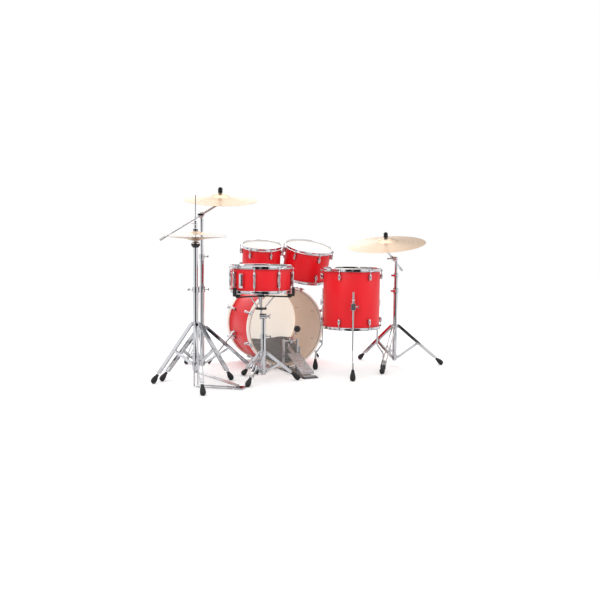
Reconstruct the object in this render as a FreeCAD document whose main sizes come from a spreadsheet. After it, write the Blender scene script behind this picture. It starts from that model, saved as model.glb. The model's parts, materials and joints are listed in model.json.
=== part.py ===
"""Five-piece acoustic drum kit with hi-hat, crash and ride cymbals.

Frame: millimetres, +Z up from the floor, +Y along the bass drum from the batter head to the
front head, +X to the seated drummer's right.  The origin is the middle of the kit's footprint.
Positions in the sheet are measured from the foot of the bass drum's batter hoop; kit_shift_x and
kit_shift_y move all of them to the origin.
"""

import FreeCAD, Part

import math
import os

import Sketcher
from FreeCAD import Placement, Rotation, Vector

UP = Vector(0, 0, 1)
HERE = Placement()

SIZES = {
    "frame": {"kit_shift_x": -55.7, "kit_shift_y": 85.7},
    "bass drum": {
        "bass_axis_z": 270, "bass_shell_radius": 251.5, "bass_wall": 6, "bass_depth": 406,
        "bass_hoop_radius": 265, "bass_hoop_inner": 256.5, "bass_hoop_width": 40,
        "bass_head_recess": 13, "bass_lug_count": 8, "bass_lug_angle": 22.5, "bass_lug_length": 46,
        "bass_lug_start": 42, "bass_rod_circle": 272.5, "bass_pillow_top": 158,
        "bass_pillow_low": 62, "bass_pillow_start": 30, "bass_pillow_length": 372,
    },
    "drum parts": {
        "shell_wall": 6, "bearing_edge": 2, "hoop_gap": 2, "hoop_steel": 2.3, "hoop_height": 19,
        "hoop_drop": 8, "hoop_flange": 7, "film": 0.8, "flesh_hoop": 9, "ear_reach": 17,
        "ear_width": 16, "rod_radius": 2.8, "rod_reach": 11.5, "lug_radius": 7.5, "lug_length": 36,
        "lug_start": 24, "rod_head_radius": 5, "rod_head_height": 8,
    },
    "tom 10": {
        "tom10_head_radius": 127, "tom10_depth": 177.8, "tom10_x": -115, "tom10_y": 150,
        "tom10_top": 810, "tom10_tilt": 13, "tom10_side": 2.7, "tom10_lug_angle": -144.5,
        "tom10_lug_count": 6,
    },
    "tom 12": {
        "tom12_head_radius": 152.4, "tom12_depth": 203.2, "tom12_x": 199, "tom12_y": 90,
        "tom12_top": 800, "tom12_tilt": 14.4, "tom12_side": 8.7, "tom12_lug_angle": -146.5,
        "tom12_lug_count": 6,
    },
    "tom mount": {
        "post_radius": 11, "post_bottom": 540, "arm_radius": 5.25, "mount_x": 30, "mount_y": 338,
        "mount_spread": 24, "mount_height": 34, "mount_length": 92, "mount_width": 48,
        "knuckle_radius": 15, "arm_ball": 9, "bracket_depth": 27, "bracket_socket": 13,
    },
    "floor tom": {
        "floor_tom_head_radius": 177.8, "floor_tom_depth": 355.6, "floor_tom_x": 305,
        "floor_tom_y": -316, "floor_tom_bottom": 303, "floor_tom_lug_angle": -141.5,
        "floor_tom_lug_count": 6, "leg_angle": -115, "leg_rod_radius": 5.5, "leg_circle": 203,
        "leg_foot_circle": 254, "leg_top": 533, "leg_bracket_z": 443,
    },
    "snare": {
        "snare_head_radius": 177.8, "snare_depth": 139.7, "snare_x": -308, "snare_y": -328,
        "snare_bottom": 542, "snare_lug_angle": -123.5, "snare_lug_count": 8,
        "snare_strainer_angle": -149,
    },
    "stands": {
        "tube_radius": 15, "tube_wall": 1.6, "middle_radius": 12.7, "top_radius": 9.5,
        "collar_radius": 20, "strip_width": 18, "strip_thickness": 3, "strip_offset": 11,
        "brace_width": 14, "brace_thickness": 2.5, "brace_offset": 7.25, "foot_radius": 17.5,
        "foot_length": 62, "boom_radius": 6.35, "boom_side": 24, "ratchet_radius": 15,
        "felt_radius": 15, "felt_height": 11, "felt_gap": 1.2, "post_thread": 4,
    },
    "crash": {
        "crash_x": -555, "crash_y": 52, "crash_foot_circle": 340, "crash_leg_angle": -149.5,
        "crash_low": 67, "crash_high": 290, "crash_joint": 510, "crash_joint_top": 718,
        "crash_pivot": 990, "crash_azimuth": -24.5, "crash_incline": 31.5, "crash_reach": 135,
        "crash_tail": 300, "crash_cymbal_radius": 228.6, "crash_cymbal_height": 38,
        "crash_tilt": 12.5, "crash_side": 2,
    },
    "ride": {
        "ride_x": 714, "ride_y": -177, "ride_foot_circle": 320, "ride_leg_angle": -135,
        "ride_low": 60, "ride_high": 270, "ride_joint": 489, "ride_joint_top": 595,
        "ride_pivot": 719, "ride_azimuth": -143.5, "ride_incline": 26, "ride_reach": 165,
        "ride_tail": 190, "ride_cymbal_radius": 254, "ride_cymbal_height": 42,
        "ride_tilt": 11, "ride_side": -5,
    },
    "hi-hat": {
        "hihat_x": -712, "hihat_y": -341, "hihat_foot_circle": 258, "hihat_leg_angle": -98.5,
        "hihat_low": 130, "hihat_high": 360, "hihat_joint": 540, "hihat_seat": 794,
        "hihat_radius": 177.8, "hihat_height": 23, "hihat_gap": 10, "hihat_bottom_bell": 832,
        "hihat_rod_top": 1090, "hihat_rod_radius": 3, "hihat_pedal_angle": -38.5,
        "hihat_pedal_length": 262, "hihat_toe_z": 84, "cymbal_thickness": 1.4,
    },
    "snare stand": {
        "snare_stand_x": -295, "snare_stand_y": -334, "snare_foot_circle": 200,
        "snare_leg_angle": -136.5, "snare_low": 60, "snare_high": 165, "snare_joint": 268,
        "snare_tilter_z": 388, "snare_nut_z": 434, "basket_angle": -161, "basket_grip": 193,
        "basket_nut_radius": 34,
    },
    "kick pedal": {
        "kick_axle_y": -62, "kick_axle_z": 190, "kick_hinge_y": -335, "kick_hinge_z": 24,
        "kick_board_width": 84, "kick_board_length": 236, "kick_board_angle": 21.6,
        "kick_beater_lean": 50, "kick_beater_reach": 140, "kick_beater_radius": 21.5,
        "kick_plate_width": 100,
    },
    "spurs": {
        "spur_y": 312, "spur_z": 208, "spur_foot_left": -425, "spur_foot_right": 395,
        "spur_foot_y": 335, "spur_radius": 8,
    },
}


def polar(radius, angle, z=0.0):
    """Return the point at a radius and an angle in degrees from +X."""
    turn = math.radians(angle)
    return Vector(radius * math.cos(turn), radius * math.sin(turn), z)


def spin(angle, axis=UP):
    """Return a rotation of so many degrees about an axis."""
    return Rotation(axis, angle)


def facing(angle, centre=Vector()):
    """Return a placement whose local +X points at an angle in the floor plane."""
    return Placement(centre, spin(angle))


def along(axis):
    """Return the rotation that turns +Z into an axis."""
    return Rotation(UP, axis)


class Kit:
    """The document, its sheet of sizes, and the few ways in which a piece is made."""

    def __init__(self):
        self.doc = FreeCAD.newDocument("drum_kit")
        self.sheet = self.doc.addObject("Spreadsheet::Sheet", "sizes")
        self.nodes = []
        row = 0
        for group, cells in SIZES.items():
            row += 1
            self.sheet.set(f"A{row}", group)
            for alias, value in cells.items():
                row += 1
                self.sheet.set(f"A{row}", alias.replace("_", " "))
                self.sheet.set(f"B{row}", str(value))
                self.sheet.setAlias(f"B{row}", alias)
        self.doc.recompute()

    def size(self, expression):
        """Return the value of a cell or of an expression of cells."""
        if isinstance(expression, (int, float)):
            return float(expression)
        return float(self.sheet.evalExpression(expression))

    def spot(self, x, y, z=0.0):
        """Return a kit position, moved to the origin of the frame."""
        shift = Vector(self.size("kit_shift_x"), self.size("kit_shift_y"), 0)
        return Vector(self.size(x), self.size(y), self.size(z)) + shift

    def bind(self, piece, **sizes):
        """Bind a piece's sizes to expressions of the sheet's cells."""
        for name, expression in sizes.items():
            if isinstance(expression, str):
                piece.setExpression(name, self.cells(expression))
            else:
                setattr(piece, name, expression)
        return piece

    def cells(self, expression):
        """Put the sheet's name before each alias of an expression."""
        words = expression.replace("(", "( ").replace(")", " )").split(" ")
        known = {alias for cells in SIZES.values() for alias in cells}
        return " ".join(f"sizes.{word}" if word in known else word for word in words)

    def rod(self, radius, start, end, name="rod"):
        """Make a round bar between two points."""
        bar = self.bind(self.doc.addObject("Part::Cylinder", name), Radius=radius)
        bar.Height = (end - start).Length
        bar.Placement = Placement(start, along(end - start))
        return bar

    def block(self, length, width, height, place, name="block"):
        """Make a box that is centred on its placement in X and Y and rises from it."""
        box = self.doc.addObject("Part::Box", name)
        self.bind(box, Length=length, Width=width, Height=height)
        corner = Vector(-self.size(length) / 2, -self.size(width) / 2, 0)
        box.Placement = place.multiply(Placement(corner, Rotation()))
        return box

    def ball(self, radius, centre, name="ball"):
        """Make a sphere."""
        sphere = self.bind(self.doc.addObject("Part::Sphere", name), Radius=radius)
        sphere.Placement = Placement(centre, Rotation())
        return sphere

    def cone(self, low_radius, high_radius, start, end, name="cone"):
        """Make a cone between two points."""
        piece = self.doc.addObject("Part::Cone", name)
        self.bind(piece, Radius1=low_radius, Radius2=high_radius)
        piece.Height = (end - start).Length
        piece.Placement = Placement(start, along(end - start))
        return piece

    def cut(self, base, tool, name="cut"):
        """Take one piece away from another."""
        result = self.doc.addObject("Part::Cut", name)
        result.Base, result.Tool = base, tool
        return result

    def fuse(self, pieces, name="fused"):
        """Join pieces into one solid."""
        result = self.doc.addObject("Part::MultiFuse", name)
        result.Shapes = pieces
        result.Refine = False
        return result

    def pipe(self, radius, inner, start, end, name="pipe"):
        """Make a round tube between two points."""
        reach = (end - start).normalize()
        bore = self.rod(inner, start - reach, end + reach, name + "_bore")
        return self.cut(self.rod(radius, start, end, name + "_outside"), bore, name)

    def bent_rod(self, name, points, radius, bend):
        """Sweep a round section along straight runs that arcs of one radius join."""
        edges, start = [], points[0]
        for before, corner, after in zip(points, points[1:], points[2:]):
            back, ahead = (before - corner).normalize(), (after - corner).normalize()
            half = back.getAngle(ahead) / 2
            trim = bend / math.tan(half)
            middle = corner + (back + ahead).normalize() * (bend / math.sin(half) - bend)
            first, last = corner + back * trim, corner + ahead * trim
            edges += [Part.LineSegment(start, first).toShape(), Part.Arc(first, middle, last).toShape()]
            start = last
        edges.append(Part.LineSegment(start, points[-1]).toShape())
        section = Part.Wire(Part.Circle(points[0], points[1] - points[0], self.size(radius)).toShape())
        piece = self.doc.addObject("Part::Feature", name)
        piece.Shape = Part.Wire(edges).makePipeShell([section], True, False)
        return piece

    def turned(self, name, outline, place=HERE):
        """Turn an outline of (radius, height) expressions about a body's own Z axis."""
        body = self.doc.addObject("PartDesign::Body", name)
        sketch = body.newObject("Sketcher::SketchObject", name + "_outline")
        plane = next(item for item in body.Origin.OriginFeatures if item.Role == "XZ_Plane")
        sketch.AttachmentSupport = [(plane, "")]
        sketch.MapMode = "FlatFace"
        corners = [Vector(self.size(radius), self.size(height), 0) for radius, height in outline]
        count = len(corners)
        for index in range(count):
            sketch.addGeometry(Part.LineSegment(corners[index], corners[(index + 1) % count]))
        for index, pair in enumerate(outline):
            sketch.addConstraint(Sketcher.Constraint("Coincident", index, 2, (index + 1) % count, 1))
            for kind, axis, expression in zip(("DistanceX", "DistanceY"), (-2, -1), pair):
                value = self.size(expression)
                if abs(value) < 1e-9:
                    sketch.addConstraint(Sketcher.Constraint("PointOnObject", index, 1, axis))
                    continue
                number = sketch.addConstraint(Sketcher.Constraint(kind, -1, 1, index, 1, value))
                if isinstance(expression, str):
                    sketch.setExpression(f"Constraints[{number}]", self.cells(expression))
        turn = body.newObject("PartDesign::Revolution", name + "_turned")
        turn.Profile = sketch
        turn.ReferenceAxis = (sketch, ["V_Axis"])
        turn.Angle = 360
        body.Placement = place
        return body

    def copies(self, name, master, places):
        """Repeat a master piece's shape at each placement, as separate solids."""
        self.doc.recompute()
        solids = [solid.transformed(place.toMatrix()) for place in places
                  for solid in master.Shape.Solids]
        piece = self.doc.addObject("Part::Feature", name)
        piece.Shape = Part.makeCompound(solids)
        return piece

    def node(self, label, pieces, place=None):
        """Name one sub-part; several pieces stay separate solids of it."""
        if len(pieces) == 1:
            item = pieces[0]
        else:
            item = self.doc.addObject("Part::Compound", label)
            item.Links = pieces
        item.Label = label
        if place is not None:
            item.Placement = place
        self.nodes.append(item)
        return item


def normal_of(kit, prefix):
    """Return the upward axis of a tilted drum or cymbal: tilt to the seat, then to its side."""
    tilt = polar(math.tan(math.radians(kit.size(prefix + "_tilt"))), -114.5)
    side = polar(math.tan(math.radians(kit.size(prefix + "_side"))), -24.5)
    return (UP + tilt + side).normalize()


# Drums --------------------------------------------------------------------------------------

def shell(kit, name, radius, wall, depth, place):
    """Make a drum shell with a 45 degree bearing edge at each end."""
    edge = "bearing_edge"
    inner = f"{radius} - {wall}"
    outline = [
        (inner, f"{wall} - {edge}"), (f"{radius} - {edge}", 0), (radius, edge),
        (radius, f"{depth} - {edge}"), (f"{radius} - {edge}", depth),
        (inner, f"{depth} - {wall} + {edge}"),
    ]
    return kit.turned(name, outline, place)


def head(kit, name, film_radius, collar_radius, collar, place=HERE):
    """Make a drum head: a film with its collar and flesh hoop hanging from it."""
    outline = [
        (0, collar), (collar_radius, collar), (collar_radius, 0), (film_radius, 0),
        (film_radius, f"{collar} + film"), (0, f"{collar} + film"),
    ]
    return kit.turned(name, outline, place)


def flanged_hoop(kit, name, head_radius, lug_count, lug_angle):
    """Make a triple-flanged steel hoop with an ear and a rod hole at each lug."""
    inner = f"{head_radius} + hoop_gap"
    outer = f"{inner} + hoop_steel"
    outline = [
        (inner, 0), (f"{outer} + hoop_flange", 0), (f"{outer} + hoop_flange", "hoop_steel"),
        (outer, "hoop_steel + 1"), (outer, "hoop_height - 3"),
        (f"{outer} + 3", "hoop_height - hoop_steel"), (f"{outer} + 3", "hoop_height"),
        (f"{outer} - 1", "hoop_height"), (inner, "hoop_height - 2"),
    ]
    ring = kit.turned(name, outline)
    reach = kit.size(head_radius)
    ears, holes = [], []
    for index in range(int(kit.size(lug_count))):
        angle = kit.size(lug_angle) + index * 360 / kit.size(lug_count)
        middle = polar(reach + kit.size("hoop_gap + hoop_steel + ear_reach / 2") - 1, angle)
        ears.append(kit.block("ear_reach - 4", "ear_width", "hoop_steel", facing(angle, middle)))
        hole = polar(reach + kit.size("rod_reach"), angle, -1)
        holes.append(kit.rod("rod_radius + 0.4", hole, hole + UP * 6, name + "_hole"))
    drilled = kit.fuse(holes, name + "_holes")
    return kit.cut(kit.fuse([ring] + ears, name + "_eared"), drilled, name + "_drilled")


def lug_set(kit, name, head_radius, double=None):
    """Make one lug with its tension rod, in a frame whose +X points out at the bearing edge.

    A single lug hangs below the edge.  A double one spans the drum's depth to a rod at each end.
    """
    reach = kit.size(f"{head_radius} + rod_reach")
    face = kit.size(f"{head_radius} - 1.2")
    depth = kit.size(double) if double else 0
    start = kit.size("lug_start")
    length = depth - 2 * start if double else kit.size("lug_length")
    axis = Vector(reach, 0, 0)
    top = axis - UP * start
    bottom = top - UP * length
    radius = kit.size("lug_radius")
    pieces = [
        kit.rod("lug_radius", top, bottom, name + "_barrel"),
        kit.block(reach - face, radius * 1.4, length * 0.7,
                  Placement(Vector((reach + face) / 2, 0, (top.z + bottom.z) / 2 - length * 0.35),
                            Rotation()), name + "_foot"),
    ]
    ear_top = kit.size("hoop_steel - hoop_drop") + 1.0
    ends = [(top, axis + UP * ear_top)]
    if double:
        ends.append((bottom, axis - UP * (depth + ear_top)))
    for low, high in ends:
        out = (high - low).normalize()
        pieces.append(kit.rod("rod_radius", low - out * 3, high + out * 4, name + "_rod"))
        pieces.append(kit.rod("rod_head_radius", high, high + out * 4, name + "_washer"))
        pieces.append(kit.rod("rod_radius + 0.8", high, high + out * kit.size("rod_head_height"),
                              name + "_key_head"))
    return kit.fuse(pieces, name)


def drum_parts(kit, prefix, place, double_lugs=False):
    """Make a hooped drum's shell, hoops, heads and lugs; the place is its bottom bearing edge."""
    radius, depth = prefix + "_head_radius", prefix + "_depth"
    count, angle = prefix + "_lug_count", prefix + "_lug_angle"
    depth_mm = kit.size(depth)
    flip = Rotation(Vector(1, 0, 0), 180)
    top = Placement(UP * depth_mm, Rotation())
    bottom = Placement(Vector(), flip)
    kit.node(prefix + "_shell", [shell(kit, prefix + "_ring", f"{radius} - 1.5", "shell_wall", depth,
                                       place)])
    drop = kit.size("hoop_drop")
    hoop = flanged_hoop(kit, prefix + "_hoop", radius, count, angle)
    mirrored = kit.size(angle) * -2
    ends = [top.multiply(Placement(UP * -drop, Rotation())),
            bottom.multiply(Placement(UP * -drop, spin(mirrored)))]
    kit.node(prefix + "_hoops", [kit.copies(prefix + "_hoop_pair", hoop,
                                            [place.multiply(end) for end in ends])])
    film = head(kit, prefix + "_film", f"{radius} + 1.5", f"{radius} - 1.1", "flesh_hoop")
    reach = kit.size("flesh_hoop") - 0.1
    ends = [top.multiply(Placement(UP * -reach, Rotation())),
            bottom.multiply(Placement(UP * -reach, Rotation()))]
    kit.node(prefix + "_heads", [kit.copies(prefix + "_head_pair", film,
                                            [place.multiply(end) for end in ends])])
    master = lug_set(kit, prefix + "_lug_master", radius, depth if double_lugs else None)
    spots = []
    for index in range(int(kit.size(count))):
        turn = Placement(Vector(), spin(kit.size(angle) + index * 360 / kit.size(count)))
        spots.append(place.multiply(turn).multiply(Placement(UP * depth_mm, Rotation())))
        if not double_lugs:
            spots.append(place.multiply(turn).multiply(Placement(Vector(), flip)))
    return kit.copies(prefix + "_lug_set", master, spots)


def bass_drum(kit):
    """Make the bass drum: shell, wooden hoops, heads, lugs, claws, brackets and damping pillow."""
    centre = kit.spot(0, 0, "bass_axis_z")
    lie = Rotation(Vector(1, 0, 0), -90)
    width = kit.size("bass_depth + bass_head_recess * 2")
    recess = kit.size("bass_head_recess")
    start = Placement(centre + Vector(0, recess, 0), lie)
    front = Placement(centre + Vector(0, width, 0), Rotation(Vector(1, 0, 0), 90))
    kit.node("bass_shell", [shell(kit, "bass_ring", "bass_shell_radius", "bass_wall", "bass_depth",
                                  start)])
    ring = kit.turned("bass_hoop", [
        ("bass_hoop_inner", 1), ("bass_hoop_inner + 1", 0), ("bass_hoop_radius - 1", 0),
        ("bass_hoop_radius", 1), ("bass_hoop_radius", "bass_hoop_width - 1"),
        ("bass_hoop_radius - 1", "bass_hoop_width"), ("bass_hoop_inner + 1", "bass_hoop_width"),
        ("bass_hoop_inner", "bass_hoop_width - 1")])
    batter = Placement(centre, lie)
    kit.node("bass_hoops", [kit.copies("bass_hoop_pair", ring, [batter, front])])
    collar = kit.size("flesh_hoop")
    for label, side in (("bass_batter_head", -1), ("bass_front_head", 1)):
        turn = Rotation(Vector(1, 0, 0), -90 * side)
        bearing = recess if side < 0 else width - recess
        place = Placement(centre + Vector(0, bearing - side * (collar - 0.1), 0), turn)
        kit.node(label, [head(kit, label + "_film", "bass_hoop_inner - 0.6",
                              "bass_shell_radius + 0.4", "flesh_hoop", place)])
    lug_node(kit, batter, front)
    pillow(kit, centre)


def lug_node(kit, batter, front):
    """Make the bass drum's lugs on the shell, and the claws and rods over its hoops."""
    circle = kit.size("bass_rod_circle")
    shell_face = kit.size("bass_shell_radius") + 0.3
    begin = kit.size("bass_lug_start")
    length = kit.size("bass_lug_length")
    foot = Vector(circle, 0, begin + 20)
    barrel = kit.rod("lug_radius + 1.5", foot, foot + UP * length)
    pad = kit.block(circle - shell_face, 14, length * 0.8, Placement(
        Vector((circle + shell_face) / 2, 0, begin + 20 + length * 0.1), Rotation()))
    lug = kit.fuse([barrel, pad], "bass_lug_master")
    rim = kit.size("bass_hoop_radius") + 0.4
    hook = kit.block(12, 22, 26, Placement(Vector(rim + 6, 0, -4.5), Rotation()), "claw_back")
    lip = kit.block(16, 22, 4, Placement(Vector(rim + 3, 0, -4.5), Rotation()), "claw_lip")
    rod = kit.rod("rod_radius + 0.4", Vector(circle, 0, -8), Vector(circle, 0, begin + 19.8), "claw_rod")
    grip = kit.rod(6, Vector(circle, 0, -16), Vector(circle, 0, -4), "claw_grip")
    bar = kit.rod(3, Vector(circle, -17, -13), Vector(circle, 17, -13), "claw_bar")
    claw = kit.fuse([hook, lip, rod, grip, bar], "claw_master")
    turns = [Placement(Vector(), spin(kit.size("bass_lug_angle") + index * 45)) for index in range(8)]
    places = [end.multiply(turn) for end in (batter, front) for turn in turns]
    kit.node("bass_lugs", [kit.copies("bass_lug_set", lug, places)])
    kit.node("bass_claws", [kit.copies("bass_claw_set", claw, places)])


def pillow(kit, centre):
    """Make the damping pillow that lies in the bottom of the bass drum."""
    start = centre + Vector(0, kit.size("bass_pillow_start"), 0)
    end = start + Vector(0, kit.size("bass_pillow_length"), 0)
    barrel = kit.rod("bass_shell_radius - bass_wall - 0.6", start, end, "pillow_round")
    rise = kit.size("bass_pillow_top - bass_pillow_low")
    slope = Rotation(Vector(1, 0, 0), math.degrees(math.atan2(rise, end.y - start.y)))
    top = Vector(centre.x, (start.y + end.y) / 2, kit.size("bass_pillow_top + bass_pillow_low") / 2)
    thick = kit.size("bass_pillow_top")
    slab = kit.block(420, 460, thick, Placement(top - slope.multVec(UP) * thick, slope), "pillow_slab")
    common = kit.doc.addObject("Part::Common", "pillow_form")
    common.Base, common.Tool = barrel, slab
    kit.node("bass_pillow", [common])


def brackets(kit):
    """Make the bass drum's spur brackets and the tom mount with its two sockets."""
    pieces = []
    centre = kit.spot(0, 0, "bass_axis_z")
    radius = kit.size("bass_shell_radius")
    for side in (-1, 1):
        drop = math.degrees(math.asin((kit.size("bass_axis_z") - kit.size("spur_z")) / radius))
        out = Vector(side * math.cos(math.radians(drop)), 0, -math.sin(math.radians(drop)))
        base = centre + Vector(0, kit.size("spur_y"), 0) + out * (radius + 0.5)
        pieces.append(kit.rod(21, base, base + out * 7, "spur_bracket"))
    x, y = kit.size("mount_x"), kit.size("mount_y")
    high = kit.size("bass_axis_z") + radius
    base = kit.block("mount_length", "mount_width", 46, Placement(kit.spot(x, y, high - 40), Rotation()),
                     "mount_plate")
    tower = kit.block("mount_length - 12", "mount_width - 14", "mount_height",
                      Placement(kit.spot(x, y, high + 4), Rotation()), "mount_block")
    drum = kit.rod("bass_shell_radius + 0.3", centre, centre + Vector(0, 420, 0), "mount_saddle")
    mount = kit.cut(kit.fuse([base, tower], "mount_solid"), drum, "mount_saddled")
    for side in (-1, 1):
        foot = kit.spot(x + side * kit.size("mount_spread"), y, high + 8)
        mount = kit.cut(mount, kit.rod("post_radius + 0.4", foot, foot + UP * 60), "mount_socket")
    pieces.append(mount)
    kit.node("bass_mount_brackets", pieces)


def spurs(kit):
    """Make the two spurs that steady the bass drum, each with a rubber tip."""
    centre = kit.spot(0, 0, "bass_axis_z")
    radius = kit.size("bass_shell_radius")
    for side, label in ((-1, "bass_spur_left"), (1, "bass_spur_right")):
        drop = math.degrees(math.asin((kit.size("bass_axis_z") - kit.size("spur_z")) / radius))
        out = Vector(side * math.cos(math.radians(drop)), 0, -math.sin(math.radians(drop)))
        pivot = centre + Vector(0, kit.size("spur_y"), 0) + out * (radius + 8)
        hub = kit.rod(19, pivot, pivot + out * 16, "spur_hub")
        start = pivot + out * 12
        foot = kit.spot("spur_foot_left" if side < 0 else "spur_foot_right", "spur_foot_y")
        lean = (foot - start).normalize()
        end = foot + UP * (1.02 * kit.size("spur_radius") * math.sqrt(1 - lean.z ** 2))
        reach = (end - start).normalize()
        tip_start = end - reach * 30
        tube = kit.rod("spur_radius", start, tip_start, "spur_tube")
        spur = kit.fuse([hub, tube], "spur_metal")
        tip = kit.rod("spur_radius", tip_start, end, "spur_tip")
        kit.node(label, [spur, tip])


def tilted_drum(kit, prefix):
    """Return the placement of a tilted tom's bottom bearing edge."""
    normal = normal_of(kit, prefix)
    rim = kit.size("hoop_height - hoop_drop")
    top = kit.spot(prefix + "_x", prefix + "_y", prefix + "_top")
    foot = top - normal * (kit.size(prefix + "_depth") + rim)
    return Placement(foot, along(normal))


def tom(kit, prefix, side):
    """Make a rack tom and the arm that holds it; side is -1 for the post on the left."""
    place = tilted_drum(kit, prefix)
    lugs = drum_parts(kit, prefix, place)
    post = kit.spot("mount_x", "mount_y") + Vector(side * kit.size("mount_spread"), 0, 0)
    normal = normal_of(kit, prefix)
    middle = place.Base + normal * (kit.size(prefix + "_depth") * 0.5)
    toward = Vector(post.x - middle.x, post.y - middle.y, 0)
    out = (toward - normal * toward.dot(normal)).normalize()
    face = kit.size(prefix + "_head_radius") - 1.0
    bracket = kit.block(34, 36, "bracket_depth", Placement(middle + out * (face + 0.3), along(out)),
                        "bracket")
    socket = middle + out * (face + kit.size("bracket_socket"))
    bore = kit.rod("arm_ball + 1.6", socket - out * 10, socket + out * 20)
    bored = kit.cut(bracket, bore, "bracket_bored")
    kit.node(prefix + "_lugs", [lugs, bored])
    knuckle = Vector(post.x, post.y, socket.z)
    stem = kit.rod("post_radius", Vector(post.x, post.y, kit.size("post_bottom")), knuckle - UP * 10,
                   "arm_post")
    pieces = [stem, kit.ball("knuckle_radius", knuckle, "arm_knuckle"),
              kit.rod("arm_radius", knuckle, socket, "arm_rod"), kit.ball("arm_ball", socket, "arm_ball")]
    kit.node(prefix + "_arm", [kit.fuse(pieces, prefix + "_arm_solid")])


def floor_tom(kit):
    """Make the floor tom, its leg brackets and its three bent legs."""
    place = Placement(kit.spot("floor_tom_x", "floor_tom_y", "floor_tom_bottom"), Rotation())
    lugs = drum_parts(kit, "floor_tom", place)
    centre = kit.spot("floor_tom_x", "floor_tom_y")
    face = kit.size("floor_tom_head_radius") - 1.2
    circle = kit.size("leg_circle")
    bracket_z = kit.size("leg_bracket_z")
    fittings = [lugs]
    for index in range(3):
        angle = kit.size("leg_angle") + index * 120
        depth = circle - face + 12
        base = centre + polar(face + depth / 2, angle, bracket_z - 21)
        block = kit.block(depth, 28, 42, facing(angle, base), "leg_bracket")
        axis = centre + polar(circle, angle)
        side = polar(1, angle + 90)
        bolt = kit.rod(4, axis + side * 13 + UP * bracket_z, axis + side * 30 + UP * bracket_z, "wing_bolt")
        wing = kit.block(10, 4, 24, facing(angle, axis + side * 30 + UP * (bracket_z - 12)), "wing")
        body = kit.fuse([block, bolt, wing], "leg_bracket_solid")
        bore = kit.rod("leg_rod_radius + 0.4", axis + UP * (bracket_z - 40), axis + UP * (bracket_z + 40))
        fittings.append(kit.cut(body, bore, "leg_bracket_bored"))
        foot = centre + polar(kit.size("leg_foot_circle"), angle)
        path = [axis + UP * kit.size("leg_top"), axis + UP * 172, foot + UP * 108, foot + UP * 30]
        rod = kit.bent_rod(f"leg_rod_{index}", path, "leg_rod_radius", 22)
        tip = rubber_foot(kit, foot + UP * 70, foot)
        tip = kit.cut(tip, kit.rod("leg_rod_radius", foot + UP * 30, foot + UP * 90), "foot_bored")
        kit.node(f"floor_tom_leg_{index + 1}", [rod, tip])
    kit.node("floor_tom_fittings", fittings)


def snare_drum(kit):
    """Make the snare drum with its strainer, throw-off lever, butt plate and wires."""
    place = Placement(kit.spot("snare_x", "snare_y", "snare_bottom"), Rotation())
    kit.node("snare_lugs", [drum_parts(kit, "snare", place, True)])
    centre = place.Base
    angle = kit.size("snare_strainer_angle")
    face = kit.size("snare_head_radius") - 1.2
    body = kit.block(15, 26, 84, facing(angle, centre + polar(face + 7.8, angle, 22)), "strainer_body")
    butt = kit.block(13, 30, 34, facing(angle, centre + polar(-face - 6.8, angle, 20)), "butt_plate")
    wires = kit.block(300, 42, 1.6, facing(angle, centre - UP * 3.2), "snare_wires")
    kit.node("snare_strainer", [body, butt, wires])
    hinge = centre + polar(face + 21, angle, 40)
    side = polar(1, angle + 90)
    hub = kit.rod(5, hinge - side * 8, hinge + side * 8, "lever_hub")
    arm = kit.block(5, 12, 62, facing(angle, hinge), "lever_arm")
    kit.node("snare_lever", [kit.fuse([hub, arm], "lever_solid")])


# Stands -------------------------------------------------------------------------------------

def rubber_foot(kit, top, bottom):
    """Make a teardrop rubber foot from its neck to its sole, which stands on a small flat."""
    axis = (bottom - top).normalize()
    length = (bottom - top).Length
    wide = "foot_radius"
    outline = [
        (0, 0), (f"{wide} * 0.42", 0), (f"{wide} * 0.62", length * 0.22), (f"{wide} * 0.95", length * 0.55),
        (wide, length * 0.74), (f"{wide} * 0.88", length * 0.9), (f"{wide} * 0.5", length), (0, length),
    ]
    return kit.turned("rubber_foot", outline, Placement(top, along(axis)))


def leaning_foot(kit, hinge, circle, angle):
    """Return a leg's direction and the two ends of its foot, whose lowest point is on the floor."""
    length, wide = kit.size("foot_length"), kit.size("foot_radius")
    rise = 24.0
    for _ in range(8):
        sole = polar(circle, angle, rise)
        axis = (sole - hinge).normalize()
        flat = math.sqrt(1 - axis.z ** 2)
        outline = ((0.5, 1.0), (0.88, 0.9), (1.0, 0.74), (0.95, 0.55))
        low = min(sole.z + axis.z * length * (share - 0.6) - wide * part * flat
                  for part, share in outline)
        rise -= low
    sole = polar(circle, angle, rise)
    return axis, sole - axis * length * 0.6, sole + axis * length * 0.4


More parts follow.
